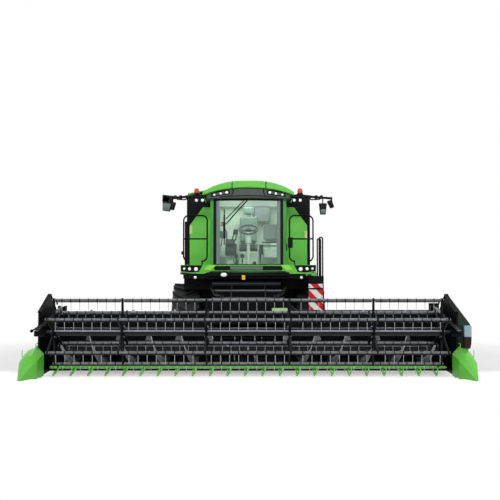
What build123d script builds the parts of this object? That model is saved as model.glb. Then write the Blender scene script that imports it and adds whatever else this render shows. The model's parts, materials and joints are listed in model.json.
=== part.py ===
"""Self-propelled combine harvester with a 7.2 m grain header, in millimetres.

+Z is up, the machine drives towards -Y, and +X is the driver's left. The origin is on the ground under
the middle of the machine's length and width. The header is lowered, as the machine parks.
"""

import os
from math import atan2, cos, degrees, hypot, pi, radians, sin

from build123d import *

os.makedirs("parts", exist_ok=True)

# Clearances
seat_gap = 0.3  # between a round piece and the bore, or the seat, that holds it
running_gap = 8.0  # between pieces that move past each other

# Wheels. Columns: tyre radius, tyre width, rim radius, centre's distance from the middle, lugs a side,
# lug height, spindle radius
front_axle_y = -800.0
wheelbase = 3850.0
rear_axle_y = front_axle_y + wheelbase
front_wheel = dict(radius=850, width=620, rim=381, x=1354, lugs=20, lug_height=46, spindle=60)
rear_wheel = dict(radius=600, width=440, rim=305, x=1330, lugs=17, lug_height=34, spindle=45)
bead_share = 0.76  # of the tyre's half width
rim_wall = 14.0
disc_wall = 22.0
hub_length = 60.0

# Chassis
rail_x = (430.0, 530.0)
rail_z = (930.0, 1130.0)
rail_front_y = front_axle_y - 420.0
rail_rear_y = rear_axle_y + 150.0
axle_beam_half_depth = 130.0
axle_beam_height = 170.0
final_drive_radius = 235.0
final_drive_end_x = 1240.0
spindle_reach = 84.0

# Rear axle and steering
kingpin_x = 1000.0
kingpin_radius = 25.0
sleeve_radius = 52.0
rear_beam_z = (560.0, 730.0)
rear_beam_half_depth = 80.0
fork_half_depth = 50.0
fork_wall = 40.0
knuckle_x = (1065.0, 1120.0)
rear_disc_x = 1235.0
hitch_y = rear_axle_y + 270.0
hitch_z = (800.0, 840.0)
hitch_half_width = 70.0
hitch_bore = 19.0  # for a tow pin from above

# Feeder house, which turns about its top drum and carries the header
feeder_pivot_y = front_axle_y - 640.0
feeder_pivot_z = 1560.0
feeder_drum_radius = 210.0
feeder_half_width = 740.0
feeder_wall = 45.0
trunnion_radius = 45.0
bracket_wall = 40.0

# Header
header_half_width = 3700.0  # to the outside of the end sheets
end_sheet_wall = 40.0
table_half_width = header_half_width - end_sheet_wall
header_back_y = front_axle_y - 2600.0  # rear face of the back wall
back_wall = 50.0
header_top_z = 1090.0
hump_half_width = 785.0  # of the raised plate over the feeder house
hump_top_z = 1330.0
knife_y = front_axle_y - 3550.0
knife_z = 165.0
table_z = (115.0, 145.0)
divider_back_y = front_axle_y - 3720.0
shield_front_y = divider_back_y + 5
cut_half_width = 3520.0
guard_pitch = 76.2
guard_length = 125.0
lifter_every = 4
lifter_wall = 22.0
# The crop lifter's side view, from the knife's front edge: under the guard to its tip, and back over the tip
lifter_outline = (
    (20, -20), (20, -45), (-150, -78), (-300, -127), (-350, -137), (-362, -120),
    (-152, 10), (-135, -4), (-305, -98), (-150, -52), (-80, -20),
)
auger_y = front_axle_y - 2975.0
auger_z = 470.0
auger_radius = 305.0
auger_tube_radius = 150.0
auger_shaft_radius = 30.0
auger_pitch = 560.0
auger_flight_wall = 8.0
auger_half_length = 3480.0
auger_mouth_half_width = 640.0
flight_steps = 16  # flat steps in each turn of a flight
trough_gap = 20.0
trough_top_z = 380.0

# Reel
reel_y = front_axle_y - 4000.0
reel_z = 830.0
reel_radius = 550.0
reel_phase = 5.6
bat_count = 6
bat_radius = 21.0
bat_half_length = 3370.0
reel_tube_radius = 72.0
reel_tube_half_length = 3385.0
spider_x = (715.0, 2160.0, 3340.0)
spider_wall = 14.0
spider_arm = 58.0
spider_hub = 150.0
tine_pitch = 152.4
tine_length = 165.0
tine_section = (10.0, 8.0)
reel_arm_x = 3540.0
reel_arm_half_width = 35.0
reel_arm_pivot_y = front_axle_y - 2620.0
reel_arm_pivot_z = 1190.0
reel_arm_pin_radius = 30.0
post_wall = 30.0
reel_shaft_radius = 28.0
reel_ram_base = (front_axle_y - 2700.0, 760.0)
reel_eye = (front_axle_y - 3250.0, 960.0)
reel_ram_width = 24.0
reel_lug_wall = 12.0
reel_pin_radius = 10.0
reel_eye_bore = 20.0

# Threshing body and what stands on it
separator_half_width = 760.0
separator_front_y = front_axle_y - 290.0
separator_rear_y = front_axle_y + 4850.0
deck_z = 2450.0
deck_wall = 40.0
drive_side_x = 1020.0  # outer face of the closed drives between the body and the front wheels
drive_side_z = 1100.0
body_half_width = 1400.0
cover_wall = 40.0
tank_wall = 40.0
tank_y = (front_axle_y + 300.0, front_axle_y + 2900.0)
tank_top_z = 3745.0
tank_shoulder_z = 2900.0
tank_left_x = 980.0
lid_rise = 220.0
lid_wall = 25.0
hood_x = (-1350.0, 1100.0)
hood_y = (front_axle_y + 2940.0, front_axle_y + 4700.0)
hood_top_z = 3300.0
hood_wall = 40.0
screen_radius = 360.0  # the engine's air screen
rear_y = front_axle_y + 6140.0

# Cab
cab_half_width = 800.0
cab_y = (front_axle_y - 1150.0, front_axle_y + 250.0)  # at the front corners and the rear wall
cab_bulge = 110.0  # of the windscreen, seen from above
cab_z = (1870.0, 3470.0)
cab_wall = 50.0
windscreen_half_width = 730.0
windscreen_z = (2085.0, 3440.0)
rear_window_half_width = 620.0
rear_window_z = (2500.0, 3400.0)
door_y = (cab_y[0] + 90.0, front_axle_y - 470.0)
door_z = (cab_z[0] + cab_wall, cab_z[1] - 60.0)
door_rail = 60.0
door_gap = 6.0
glass_wall = 8.0
glass_inset = 15.0
shoulder_x = (820.0, body_half_width - 40)  # of the flanks beside the cab
shoulder_y = (front_axle_y - 390.0, front_axle_y + 960.0)
shoulder_z = (front_wheel["radius"] * 2 + 35, cab_z[1])
shoulder_cap = (980.0, 3580.0)  # inner face and top of the flanks' caps, beside the roof
roof_half_width = 960.0
roof_y = (cab_y[0] - 150.0, cab_y[1] + 40.0)
roof_bulge = 120.0
# The roof seen from the front. Columns: x, z of its underside, z of its top
roof_section = ((0, 3672, 3825), (378, 3655, 3808), (637, 3618, 3750), (843, 3562, 3668), (roof_half_width, 3525, 3598))
visor_inset = 60.0

# Decks, fascia and rails beside and below the cab
platform_y = (cab_y[0], front_axle_y - 390.0)
platform_z = (1880.0, 1920.0)
platform_half_width = body_half_width + 30
panel_depth = 60.0
panel_half_width = platform_half_width - 140
panel_z = (2970.0, 3370.0)  # of its sloping shoulder
fascia_y = (cab_y[0] - 140.0, cab_y[0])
fascia_z = (1925.0, 2073.0)
lamp_depth = 30.0
# Columns: x, z and radius of the round lamps in the fascia, and of those in the visor
fascia_lamps = ((1090.0, 1985.0, 52.0), (1225.0, 1990.0, 42.0), (1335.0, 1995.0, 36.0))
visor_lamps = ((450.0, 3584.0, 34.0), (575.0, 3564.0, 30.0), (712.0, 3540.0, 30.0))
arm_z = (3475.0, 3525.0)  # of the mirrors' arms
arm_half_depth = 25.0
mirror_x = (1500.0, 1680.0)
mirror_z = (3170.0, 3475.0)
beacon_x = 1085.0
beacon_radius = 52.0
beacon_height = 165.0
corner_lamp_x = (960.0, 1085.0)
hoop_x = (862.0, 1355.0)
hoop_z = (2150.0, 2620.0, 3110.0)  # bottom, middle rail and top
hoop_bend = 110.0
rail_radius = 16.0

# Ladder, which swings about a pin at its front inner corner
ladder_x = (platform_half_width - 195, platform_half_width + 130)
ladder_y = (front_axle_y - 1400.0, front_axle_y - 905.0)
ladder_z = (480.0, 1842.0)
ladder_pin = (ladder_x[0] + 30, ladder_y[0] + 30, 20.0)  # x, y, radius


def block(x, y, z):
    """A box from low to high along each axis."""
    box = Box(x[1] - x[0], y[1] - y[0], z[1] - z[0], align=(Align.MIN, Align.MIN, Align.MIN))
    return Pos(x[0], y[0], z[0]) * box


def side_plate(outline, x):
    """An outline of (y, z) points, drawn out along X."""
    return extrude(Plane.YZ.offset(x[0]) * Polygon(*outline, align=None), x[1] - x[0], dir=(1, 0, 0))


def front_plate(outline, y):
    """An outline of (x, z) points, drawn out along Y."""
    return extrude(Plane.XZ.offset(-y[0]) * Polygon(*outline, align=None), y[1] - y[0], dir=(0, 1, 0))


def floor_plate(outline, z):
    """An outline of (x, y) points, drawn out along Z."""
    return extrude(Plane.XY.offset(z[0]) * Polygon(*outline, align=None), z[1] - z[0], dir=(0, 0, 1))


def cross_bar(x, y, z, radius, bore=0.0):
    """A round bar or tube along X."""
    place = Pos(x[0], y, z) * Rot(0, 90, 0)
    low = (Align.CENTER, Align.CENTER, Align.MIN)
    bar = place * Cylinder(radius, x[1] - x[0], align=low)
    if bore:
        bar -= place * Cylinder(bore, x[1] - x[0], align=low)
    return bar


def upright(x, y, z, radius, bore=0.0):
    """A round bar or tube along Z."""
    low = (Align.CENTER, Align.CENTER, Align.MIN)
    bar = Pos(x, y, z[0]) * Cylinder(radius, z[1] - z[0], align=low)
    if bore:
        bar -= Pos(x, y, z[0]) * Cylinder(bore, z[1] - z[0], align=low)
    return bar


def strut(start, end, radius):
    """A round bar between two points."""
    a, b = Vector(*start), Vector(*end)
    low = (Align.CENTER, Align.CENTER, Align.MIN)
    return Plane(origin=a, z_dir=b - a) * Cylinder(radius, (b - a).length, align=low)


def rail(points, bend, radius):
    """A round tube bent through the points."""
    path = FilletPolyline(*points, radius=bend)
    return sweep(Plane(origin=path @ 0, z_dir=path % 0) * Circle(radius), path=path)


def front_face(points, middle):
    """A face in plan: straight sides and back through (x, y) points, and a front arc through its middle."""
    arc = ThreePointArc(points[-1], middle, points[0])
    return make_face([Polyline(*points), arc])


def both(shape):
    """The shape and its mirror image on the other side of the machine."""
    return [shape, mirror(shape, about=Plane.YZ)]


def spread(low, high, pitch):
    """Places from low to high, a pitch apart and centred between them."""
    count = int((high - low) / pitch) + 1
    start = (low + high - (count - 1) * pitch) / 2
    return [start + i * pitch for i in range(count)]


def save(name, *shapes):
    """Writes one node from its shapes."""
    solids = []
    for shape in shapes:
        for each in shape if isinstance(shape, (list, tuple)) else [shape]:
            solids += each.solids()
    export_step(Compound(solids), f"parts/{name}.step")


# Wheels


def tyre(wheel):
    """A lugged tyre about the X axis at the origin."""
    half, tread = wheel["width"] / 2, wheel["radius"] - wheel["lug_height"]
    wall = tread - wheel["rim"]
    bead = wheel["rim"] + seat_gap
    right = [
        (bead_share * half, bead),
        (half, wheel["rim"] + 0.45 * wall),
        (0.97 * half, tread - 0.15 * wall),
        (0.80 * half, tread),
    ]
    left = [(-x, r) for x, r in reversed(right)]
    carcass = revolve(Polygon(*right, *left, align=None), Axis.X)
    pitch = 360 / wheel["lugs"]
    sweep_back = 0.62 * half  # how far a lug's outer end trails its inner end
    lug_width = 0.20 * half
    outline = [
        (-0.04 * half, 0),
        (0.96 * half, sweep_back),
        (0.96 * half, sweep_back + lug_width),
        (0.30 * half, 0.30 * sweep_back + lug_width),
        (-0.04 * half, lug_width),
    ]
    lug = floor_plate(outline, (tread - 0.28 * wall, wheel["radius"] + 30))
    around = RegularPolygon(wheel["radius"], 3 * wheel["lugs"], rotation=90)
    crown = extrude(Plane.YZ.offset(-half) * around, 2 * half, dir=(1, 0, 0))
    for shape, first in ((lug, 0), (mirror(lug, about=Plane.YZ), 0.5)):
        carcass += [Rot((i + first) * pitch, 0, 0) * shape & crown for i in range(wheel["lugs"])]
    return carcass


def rim(wheel, disc_x):
    """A dished wheel about the X axis at the origin, with its disc's inner face at disc_x."""
    reach = bead_share * wheel["width"] / 2
    hub = wheel["spindle"] + seat_gap
    barrel = cross_bar((-reach, reach), 0, 0, wheel["rim"], wheel["rim"] - rim_wall)
    disc = cross_bar((disc_x, disc_x + disc_wall), 0, 0, wheel["rim"] - 0.5 * rim_wall, hub)
    boss = cross_bar((disc_x, disc_x + hub_length), 0, 0, hub + 50, hub)
    return barrel + disc + boss


front_disc_x = final_drive_end_x + running_gap - front_wheel["x"]
rear_rim_disc_x = rear_disc_x - rear_wheel["x"]
for name, wheel, disc_x, y in (
    ("front", front_wheel, front_disc_x, front_axle_y),
    ("rear", rear_wheel, rear_rim_disc_x, rear_axle_y),
):
    place = Pos(wheel["x"], y, wheel["radius"])
    for piece, shape in (("tyre", tyre(wheel)), ("rim", rim(wheel, disc_x))):
        left, right = both(place * shape)
        save(f"{piece}_{name}_left", left)
        save(f"{piece}_{name}_right", right)

# Chassis


def chassis_frame():
    """The two rails, their cross-members, the drive axle and the feeder's pivot brackets."""
    rails = both(block(rail_x, (rail_front_y, rail_rear_y), rail_z))
    beam_z = (front_wheel["radius"] - axle_beam_height / 2, rail_z[0])
    beam_y = (front_axle_y - axle_beam_half_depth, front_axle_y + axle_beam_half_depth)
    beam = block((-1000, 1000), beam_y, beam_z)
    drive = cross_bar((900, final_drive_end_x), front_axle_y, front_wheel["radius"], final_drive_radius)
    drive += cross_bar(
        (final_drive_end_x, final_drive_end_x + spindle_reach),
        front_axle_y,
        front_wheel["radius"],
        front_wheel["spindle"],
    )
    bracket_x = (feeder_half_width + running_gap, feeder_half_width + running_gap + bracket_wall)
    bracket_top = shoulder_z[0] - seat_gap
    front_member = block((-bracket_x[1], bracket_x[1]), (rail_front_y, separator_front_y), rail_z)
    outline = [
        (separator_front_y, rail_z[0]),
        (separator_front_y, bracket_top),
        (feeder_pivot_y + 60, bracket_top),
        (feeder_pivot_y - 90, feeder_pivot_z + 60),
        (feeder_pivot_y - 90, feeder_pivot_z - 90),
        (rail_front_y, rail_z[0]),
    ]
    bracket = side_plate(outline, bracket_x)
    bracket -= cross_bar(bracket_x, feeder_pivot_y, feeder_pivot_z, trunnion_radius + seat_gap)
    rear_member = block((-rail_x[1], rail_x[1]), (rear_axle_y - 90, rear_axle_y + 90), rail_z)
    saddle = block((-130, 130), (rear_axle_y - 70, rear_axle_y + 70), (rear_beam_z[1], rail_z[0]))
    frame = beam + rails + both(drive) + front_member + both(bracket) + rear_member + saddle
    return frame + both(lift_lugs()) + tow_hitch()


def tow_hitch():
    """The tongue behind the rear axle, with an upright bore for a tow pin."""
    tongue = block((-hitch_half_width, hitch_half_width), (rear_axle_y + 60, hitch_y), hitch_z)
    tongue += upright(0, hitch_y, hitch_z, hitch_half_width)
    return tongue - upright(0, hitch_y, hitch_z, hitch_bore)


# Lift cylinders: base pin on the chassis, rod eye under the feeder house, at rest and raised
lift_x = 600.0
lift_base = (front_axle_y - 250.0, 690.0)
lift_eye = (front_axle_y - 1900.0, 540.0)
lift_pin_radius = 20.0
lift_eye_bore = 34.0
lift_barrel_radius = 55.0
lift_rod_radius = 32.0
lift_width = 60.0
lug_wall = 20.0


def ears(x, y, z, width, wall, outline, bore):
    """Two plates either side of an eye of the given width at x, with a hole for its pin."""
    plates = []
    for low in (x - width / 2 - running_gap - wall, x + width / 2 + running_gap):
        plate = side_plate(outline, (low, low + wall))
        plates.append(plate - cross_bar((low, low + wall), y, z, bore))
    return plates


def lift_lugs():
    """The plates under the axle beam that hold the lift cylinders."""
    y, z = lift_base
    outline = [
        (y - 60, z - 60),
        (y + 60, z - 60),
        (front_axle_y + 60, front_wheel["radius"] - axle_beam_height / 2),
        (front_axle_y - axle_beam_half_depth, front_wheel["radius"] - axle_beam_height / 2),
        (front_axle_y - axle_beam_half_depth, rail_z[0]),
        (y - 60, z + 70),
    ]
    pair = ears(lift_x, y, z, lift_width, lug_wall, outline, lift_pin_radius + seat_gap)
    return pair[0] + pair[1]


def ram(x, base, eye, barrel_share, barrel_radius, rod_radius, width, pin_radius, eye_bore):
    """A cylinder from its base pin to its rod eye: (barrel with pin, rod with eye)."""
    length = hypot(eye[0] - base[0], eye[1] - base[1])
    tilt = degrees(atan2(eye[1] - base[1], eye[0] - base[0]))
    place = Pos(x, base[0], base[1]) * Rot(tilt, 0, 0)
    along = Rot(-90, 0, 0)  # a cylinder's axis from Z to the ram's own Y
    low = (Align.CENTER, Align.CENTER, Align.MIN)
    gland = barrel_share * length
    eye_radius = eye_bore + 18
    half = width / 2
    start = 2 * barrel_radius  # where the barrel is clear of the plates that hold its pin
    barrel = along * Pos(0, 0, start) * Cylinder(barrel_radius, gland - start, align=low)
    barrel += block((-half, half), (0, start + 5), (-0.7 * barrel_radius, 0.7 * barrel_radius))
    barrel += cross_bar((-half, half), 0, 0, barrel_radius * 0.7)
    pin_reach = half + running_gap + 20
    barrel += cross_bar((-pin_reach, pin_reach), 0, 0, pin_radius)
    floor = start + 30
    barrel -= along * Pos(0, 0, floor) * Cylinder(rod_radius + seat_gap, gland, align=low)
    rod = along * Pos(0, 0, floor + 5) * Cylinder(rod_radius, length - floor - 5 - eye_bore - 6, align=low)
    rod += Pos(0, length, 0) * (cross_bar((-half, half), 0, 0, eye_radius))
    rod -= Pos(0, length, 0) * (cross_bar((-half, half), 0, 0, eye_bore))
    return place * barrel, place * rod


lift_barrel, lift_rod = ram(
    lift_x, lift_base, lift_eye, 0.62, lift_barrel_radius, lift_rod_radius,
    lift_width, lift_pin_radius, lift_eye_bore,
)
save("lift_barrels", both(lift_barrel))
save("lift_rods", both(lift_rod))
save("chassis_frame", chassis_frame())


def rear_axle():
    """The steering axle's beam with a sleeve for each kingpin."""
    y = (rear_axle_y - rear_beam_half_depth, rear_axle_y + rear_beam_half_depth)
    beam = block((-kingpin_x + 60, kingpin_x - 60), y, rear_beam_z)
    sleeve_z = (rear_beam_z[0] - 20, rear_beam_z[1] + 5)
    neck = block((kingpin_x - 80, kingpin_x), (rear_axle_y - 40, rear_axle_y + 40), rear_beam_z)
    sleeve = upright(kingpin_x, rear_axle_y, sleeve_z, sleeve_radius)
    bore = upright(kingpin_x, rear_axle_y, sleeve_z, kingpin_radius + seat_gap)
    return beam + both(neck + sleeve) - both(bore)


def knuckle():
    """The fork, kingpin and spindle that carry the left rear wheel."""
    y = (rear_axle_y - fork_half_depth, rear_axle_y + fork_half_depth)
    low = rear_beam_z[0] - 20 - running_gap
    high = rear_beam_z[1] + 5 + running_gap
    arms = [
        block((kingpin_x - 45, knuckle_x[1]), y, (low - fork_wall, low)),
        block((kingpin_x - 45, knuckle_x[1]), y, (high, high + fork_wall)),
    ]
    post = block(knuckle_x, y, (low - fork_wall, high + fork_wall))
    pin = upright(kingpin_x, rear_axle_y, (low - fork_wall, high + fork_wall), kingpin_radius)
    wheel = rear_wheel
    hub = cross_bar((knuckle_x[1], rear_disc_x - running_gap), rear_axle_y, wheel["radius"], 75)
    spindle = cross_bar(
        (knuckle_x[1], rear_disc_x + hub_length + 10), rear_axle_y, wheel["radius"], wheel["spindle"]
    )
    return post + arms + pin + hub + spindle


save("rear_axle", rear_axle())
for side, shape in zip(("left", "right"), both(knuckle())):
    save(f"knuckle_{side}", shape)

# Threshing body


def separator_body():
    """The closed threshing and straw walker body, its flanks beside the cab, its deck and lower pan."""
    y0, yr = separator_front_y, front_axle_y
    outline = [
        (y0, rail_z[1]),
        (y0, cab_z[0]),
        (cab_y[1], cab_z[0]),
        (cab_y[1], deck_z),
        (separator_rear_y, deck_z),
        (separator_rear_y, 1380),
        (yr + 3150, 1330),
        (yr + 3000, rail_z[1]),
    ]
    body = side_plate(outline, (-separator_half_width, separator_half_width))
    wide = (-shoulder_x[1], shoulder_x[1])
    body += block(wide, (shoulder_y[0], cab_y[1]), (shoulder_z[0], cab_z[0]))
    body += block(wide, (cab_y[1], shoulder_y[1]), (shoulder_z[0], deck_z))
    body += both(block(shoulder_x, (shoulder_y[0], cab_y[1]), (cab_z[0], shoulder_z[1])))
    cap_x = (shoulder_cap[0], shoulder_x[1])
    body += both(block(cap_x, (shoulder_y[0], cab_y[1]), (shoulder_z[1], shoulder_cap[1])))
    sides = (separator_half_width, drive_side_x)
    body += both(block(sides, (separator_front_y, shoulder_y[1]), (drive_side_z, shoulder_z[0])))
    edge = body_half_width - seat_gap
    body += block((-edge, edge), (shoulder_y[1], separator_rear_y), (deck_z - deck_wall, deck_z))
    pan = [
        (yr + 950, 700),
        (yr + 950, rail_z[1]),
        (yr + 3000, rail_z[1]),
        (yr + 3000, 900),
        (yr + 2500, 640),
    ]
    return body + side_plate(pan, (-rail_x[0] + 5, rail_x[0] - 5))


save("separator_body", separator_body())


def grain_tank():
    """The open-topped grain tank, narrower on the left above its shoulder for the unloading tube."""
    outline = [
        (-body_half_width, deck_z),
        (-body_half_width, tank_top_z),
        (tank_left_x, tank_top_z),
        (tank_left_x, tank_shoulder_z),
        (body_half_width, tank_shoulder_z),
        (body_half_width, deck_z),
    ]
    inner = [
        (-body_half_width + tank_wall, deck_z + tank_wall),
        (-body_half_width + tank_wall, tank_top_z + 1),
        (tank_left_x - tank_wall, tank_top_z + 1),
        (tank_left_x - tank_wall, deck_z + tank_wall),
    ]
    shell = front_plate(outline, tank_y)
    return shell - front_plate(inner, (tank_y[0] + tank_wall, tank_y[1] - tank_wall))


def tank_lid(hinge_x, meet_x):
    """One sloping cover of the tank, from its hinge on the wall's top to the ridge."""
    z = tank_top_z + seat_gap
    outline = [
        (hinge_x, z),
        (hinge_x, z + lid_wall),
        (meet_x, z + lid_wall + lid_rise),
        (meet_x, z + lid_rise),
    ]
    return front_plate(outline, tank_y)


save("grain_tank", grain_tank())
ridge_x = (tank_left_x - body_half_width) / 2
save("tank_lid_right", tank_lid(-body_half_width, ridge_x - running_gap / 2))
save("tank_lid_left", tank_lid(tank_left_x, ridge_x + running_gap / 2))


def engine_hood():
    """The engine compartment's shell on the deck, with its air screen's ring and its louvres."""
    slope = 260
    outline = [
        (hood_y[0], deck_z),
        (hood_y[0], hood_top_z),
        (hood_y[1] - slope, hood_top_z),
        (hood_y[1], hood_top_z - slope),
        (hood_y[1], deck_z),
    ]
    w = hood_wall
    inner = [
        (hood_y[0] + w, deck_z),
        (hood_y[0] + w, hood_top_z - w),
        (hood_y[1] - slope - 0.4 * w, hood_top_z - w),
        (hood_y[1] - w, hood_top_z - slope - 0.4 * w),
        (hood_y[1] - w, deck_z),
    ]
    hood = side_plate(outline, hood_x) - side_plate(inner, (hood_x[0] + w, hood_x[1] - w))
    y, z = (hood_y[0] + hood_y[1]) / 2 - 150, deck_z + screen_radius + 50
    hood += cross_bar((hood_x[0] - 50, hood_x[0]), y, z, screen_radius, screen_radius - 40)
    slots = [
        block((x - 9, x + 9), (hood_y[1] - w - 1, hood_y[1] + 1), (deck_z + 110, deck_z + 430))
        for x in spread(-900, 700, 100)
    ]
    return hood - slots


save("engine_hood", engine_hood())
save("engine_block", block((-450, 450), (hood_y[0] + 260, hood_y[0] + 1360), (deck_z, deck_z + 720)))

# Covers along the flanks, hinged at the deck
cover_y = (shoulder_y[1] + 40, separator_rear_y - 20)
cover_x = (body_half_width, body_half_width + cover_wall)
arch_radius = rear_wheel["radius"] + 150.0


def side_cover():
    """The large flank cover, arched over the rear wheel, with two pressed channels and louvres."""
    yr = front_axle_y
    outline = [
        (cover_y[0], 1050),
        (cover_y[0], deck_z),
        (cover_y[1], deck_z),
        (cover_y[1], 1700),
        (cover_y[1] - 120, 1420),
        (rear_axle_y + 600, 1300),
        (rear_axle_y - 600, 1000),
        (rear_axle_y - 900, 930),
        (cover_y[0] + 200, 930),
    ]
    cover = side_plate(outline, cover_x)
    cover -= cross_bar(cover_x, rear_axle_y, rear_wheel["radius"], arch_radius)
    skin = (cover_x[1] - 12, cover_x[1] + 1)
    cover -= block(skin, (cover_y[0] + 120, cover_y[1] - 160), (deck_z - 250, deck_z - 215))
    cover -= block(skin, (cover_y[0] + 120, cover_y[1] - 160), (deck_z - 720, deck_z - 685))
    slots = [
        block((cover_x[0] - 1, cover_x[1] + 1), (y - 14, y + 14), (deck_z - 600, deck_z - 370))
        for y in spread(yr + 3300, yr + 4400, 90)
    ]
    return cover - slots


left_cover, right_cover = both(side_cover())
save("side_cover_left", left_cover)
save("side_cover_right", right_cover)


def rear_hood():
    """The rounded straw hood behind the straw walkers."""
    y = separator_rear_y
    outline = [
        (y, 1380),
        (y, 2900),
        (y + 420, 2840),
        (y + 860, 2250),
        (y + 860, 1480),
        (y + 760, 1420),
    ]
    x = separator_half_width + 60
    hood = side_plate(outline, (-x, x))
    bends = hood.edges().filter_by(Axis.X).sort_by(Axis.Y)[-4:]
    upper = [edge for edge in bends if edge.center().Z > 2000]
    return fillet(upper, 180)


def straw_chopper():
    """The straw chopper under the hood, with its spreader plate and vanes to the rear."""
    y = separator_rear_y
    box = [(y + 60, 900), (y, 1379.7), (y + 740, 1418), (y + 700, 1000)]
    plate = [(y + 700, 1040), (y + 718, 1220), (rear_y, 1120), (rear_y, 1095)]
    half = separator_half_width + 40
    chopper = side_plate(box, (-half, half)) + side_plate(plate, (-half - 160, half + 160))
    vane = [(y + 760, 1050), (rear_y - 40, 1100), (rear_y - 40, 1020), (y + 760, 960)]
    return chopper + [side_plate(vane, (x - 5, x + 5)) for x in spread(-800, 800, 200)]


save("rear_hood", rear_hood())
save("straw_chopper", straw_chopper())

# Unloading tube
turret_x = 1215.0
turret_y = front_axle_y + 620.0
turret_radius = 200.0
tube_z = 3650.0
tube_radius = 180.0
tube_bend = 240.0
tube_end_y = front_axle_y + 5450.0


def unloading_tube():
    """The unloading tube, folded back along the left side, with its turret, flanges and spout."""
    turret = upright(turret_x, turret_y, (tank_shoulder_z + seat_gap, tank_shoulder_z + 50), turret_radius)
    start = (turret_x, turret_y, tank_shoulder_z + 20)
    corner = (turret_x, turret_y, tube_z)
    tube = rail([start, corner, (turret_x, tube_end_y, tube_z)], tube_bend, tube_radius)
    flanges = [
        Pos(turret_x, y, tube_z) * Rot(90, 0, 0) * Cylinder(tube_radius + 18, 24)
        for y in (turret_y + 260, (turret_y + tube_end_y) / 2)
    ]
    spout = [
        (tube_end_y - 60, tube_z - tube_radius - 190),
        (tube_end_y - 60, tube_z + tube_radius - 20),
        (tube_end_y + 200, tube_z + 60),
        (tube_end_y + 290, tube_z - tube_radius - 190),
    ]
    half = tube_radius - 8
    return turret + tube + flanges + side_plate(spout, (turret_x - half, turret_x + half))


save("unloading_tube", unloading_tube())

# Cab


def cab_plan(inset):
    """The cab's outline from above, drawn in by an inset."""
    x, rear = cab_half_width - inset, cab_y[1] - inset
    front = cab_y[0] + inset
    return front_face([(x, front), (x, rear), (-x, rear), (-x, front)], (0, front - cab_bulge))


def raised(face, z):
    """A face in plan, drawn up from low to high."""
    return Pos(0, 0, z[0]) * extrude(face, z[1] - z[0], dir=(0, 0, 1))


def arc_y(x, half, front, bulge):
    """Where a front arc of the given half width and bulge lies at x."""
    radius = (half**2 + bulge**2) / (2 * bulge)
    return front - bulge + radius - (radius**2 - x**2) ** 0.5


def cab_shell():
    """The hollow cab with its bowed front, floor and posts, and its windows and door cut out."""
    x, y, z = (-cab_half_width, cab_half_width), cab_y, cab_z
    shell = raised(cab_plan(0), z) - raised(cab_plan(cab_wall), (z[0] + cab_wall, z[1] + 1))
    nose = y[0] - cab_bulge - 1
    half = windscreen_half_width
    front = block((-half, half), (nose, y[0] + cab_wall + 30), windscreen_z)
    sides = block((x[0] - 1, x[1] + 1), door_y, door_z)
    half = rear_window_half_width
    rear = block((-half, half), (y[1] - cab_wall - 1, y[1] + 1), rear_window_z)
    return shell - front - sides - rear


def cab_door():
    """The door's frame, as thick as the cab's wall, with its handle."""
    x = (cab_half_width - cab_wall, cab_half_width)
    y, z, rail_width = door_leaf_y, door_leaf_z, door_rail
    window = block((x[0] - 1, x[1] + 1), (y[0] + rail_width, y[1] - rail_width), (z[0] + rail_width, z[1] - rail_width))
    handle = block((x[1], x[1] + 25), (y[0] + 15, y[0] + 40), (z[0] + 450, z[0] + 600))
    return block(x, y, z) - window + handle


def cab_glass():
    """The bowed windscreen, the rear window and the right window."""
    band = raised(cab_plan(glass_inset), windscreen_z) - raised(cab_plan(glass_inset + glass_wall), windscreen_z)
    half = windscreen_half_width
    screen = band & block((-half, half), (cab_y[0] - cab_bulge - 1, cab_y[0] + 90), windscreen_z)
    low = cab_y[1] - glass_inset - glass_wall
    rear = block((-rear_window_half_width, rear_window_half_width), (low, low + glass_wall), rear_window_z)
    low = -cab_half_width + glass_inset
    return screen, rear, block((low, low + glass_wall), door_y, door_z)


door_leaf_y = (door_y[0] + door_gap, door_y[1] - seat_gap)
door_leaf_z = (door_z[0] + door_gap, door_z[1] - door_gap)
save("cab_shell", cab_shell())
save("cab_door", cab_door())
save("cab_glass", *cab_glass())
pane_x = (cab_half_width - glass_inset - glass_wall, cab_half_width - glass_inset)
pane_y = (door_leaf_y[0] + door_rail, door_leaf_y[1] - door_rail)
pane_z = (door_leaf_z[0] + door_rail, door_leaf_z[1] - door_rail)
save("door_glass", block(pane_x, pane_y, pane_z))


def roof_plan(inset):
    """The roof's outline from above, drawn in by an inset."""
    x, front, rear = roof_half_width - inset, roof_y[0] + inset, roof_y[1] - inset
    return front_face([(x, front), (x, rear), (-x, rear), (-x, front)], (0, front - roof_bulge))


def roof_line(column, drop=0.0):
    """The roof's underside (column 1) or top (column 2), seen from the front and lowered by a drop."""
    right = [(row[0], row[column] - drop) for row in roof_section]
    left = [(-x, z) for x, z in reversed(right[1:])]
    return Spline(*left, *right)


def roof_slab(edges):
    """A section seen from the front, drawn out over the roof's whole length."""
    front = roof_y[0] - roof_bulge - 1
    return Pos(0, front, 0) * (Rot(90, 0, 0) * extrude(make_face(edges), roof_y[1] + 1 - front, dir=(0, 0, -1)))


def cab_roof():
    """The crowned green roof."""
    eave, crown = roof_section[-1], roof_section[0]
    sides = [Line((x, eave[1]), (x, eave[2])) for x in (-roof_half_width, roof_half_width)]
    plan = raised(roof_plan(0), (eave[1] - 10, crown[2] + 10))
    return roof_slab([roof_line(1), roof_line(2), *sides]) & plan


def visor_front(x):
    """The front of the visor at x."""
    return arc_y(x, roof_half_width - visor_inset, roof_y[0] + visor_inset, roof_bulge)


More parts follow.
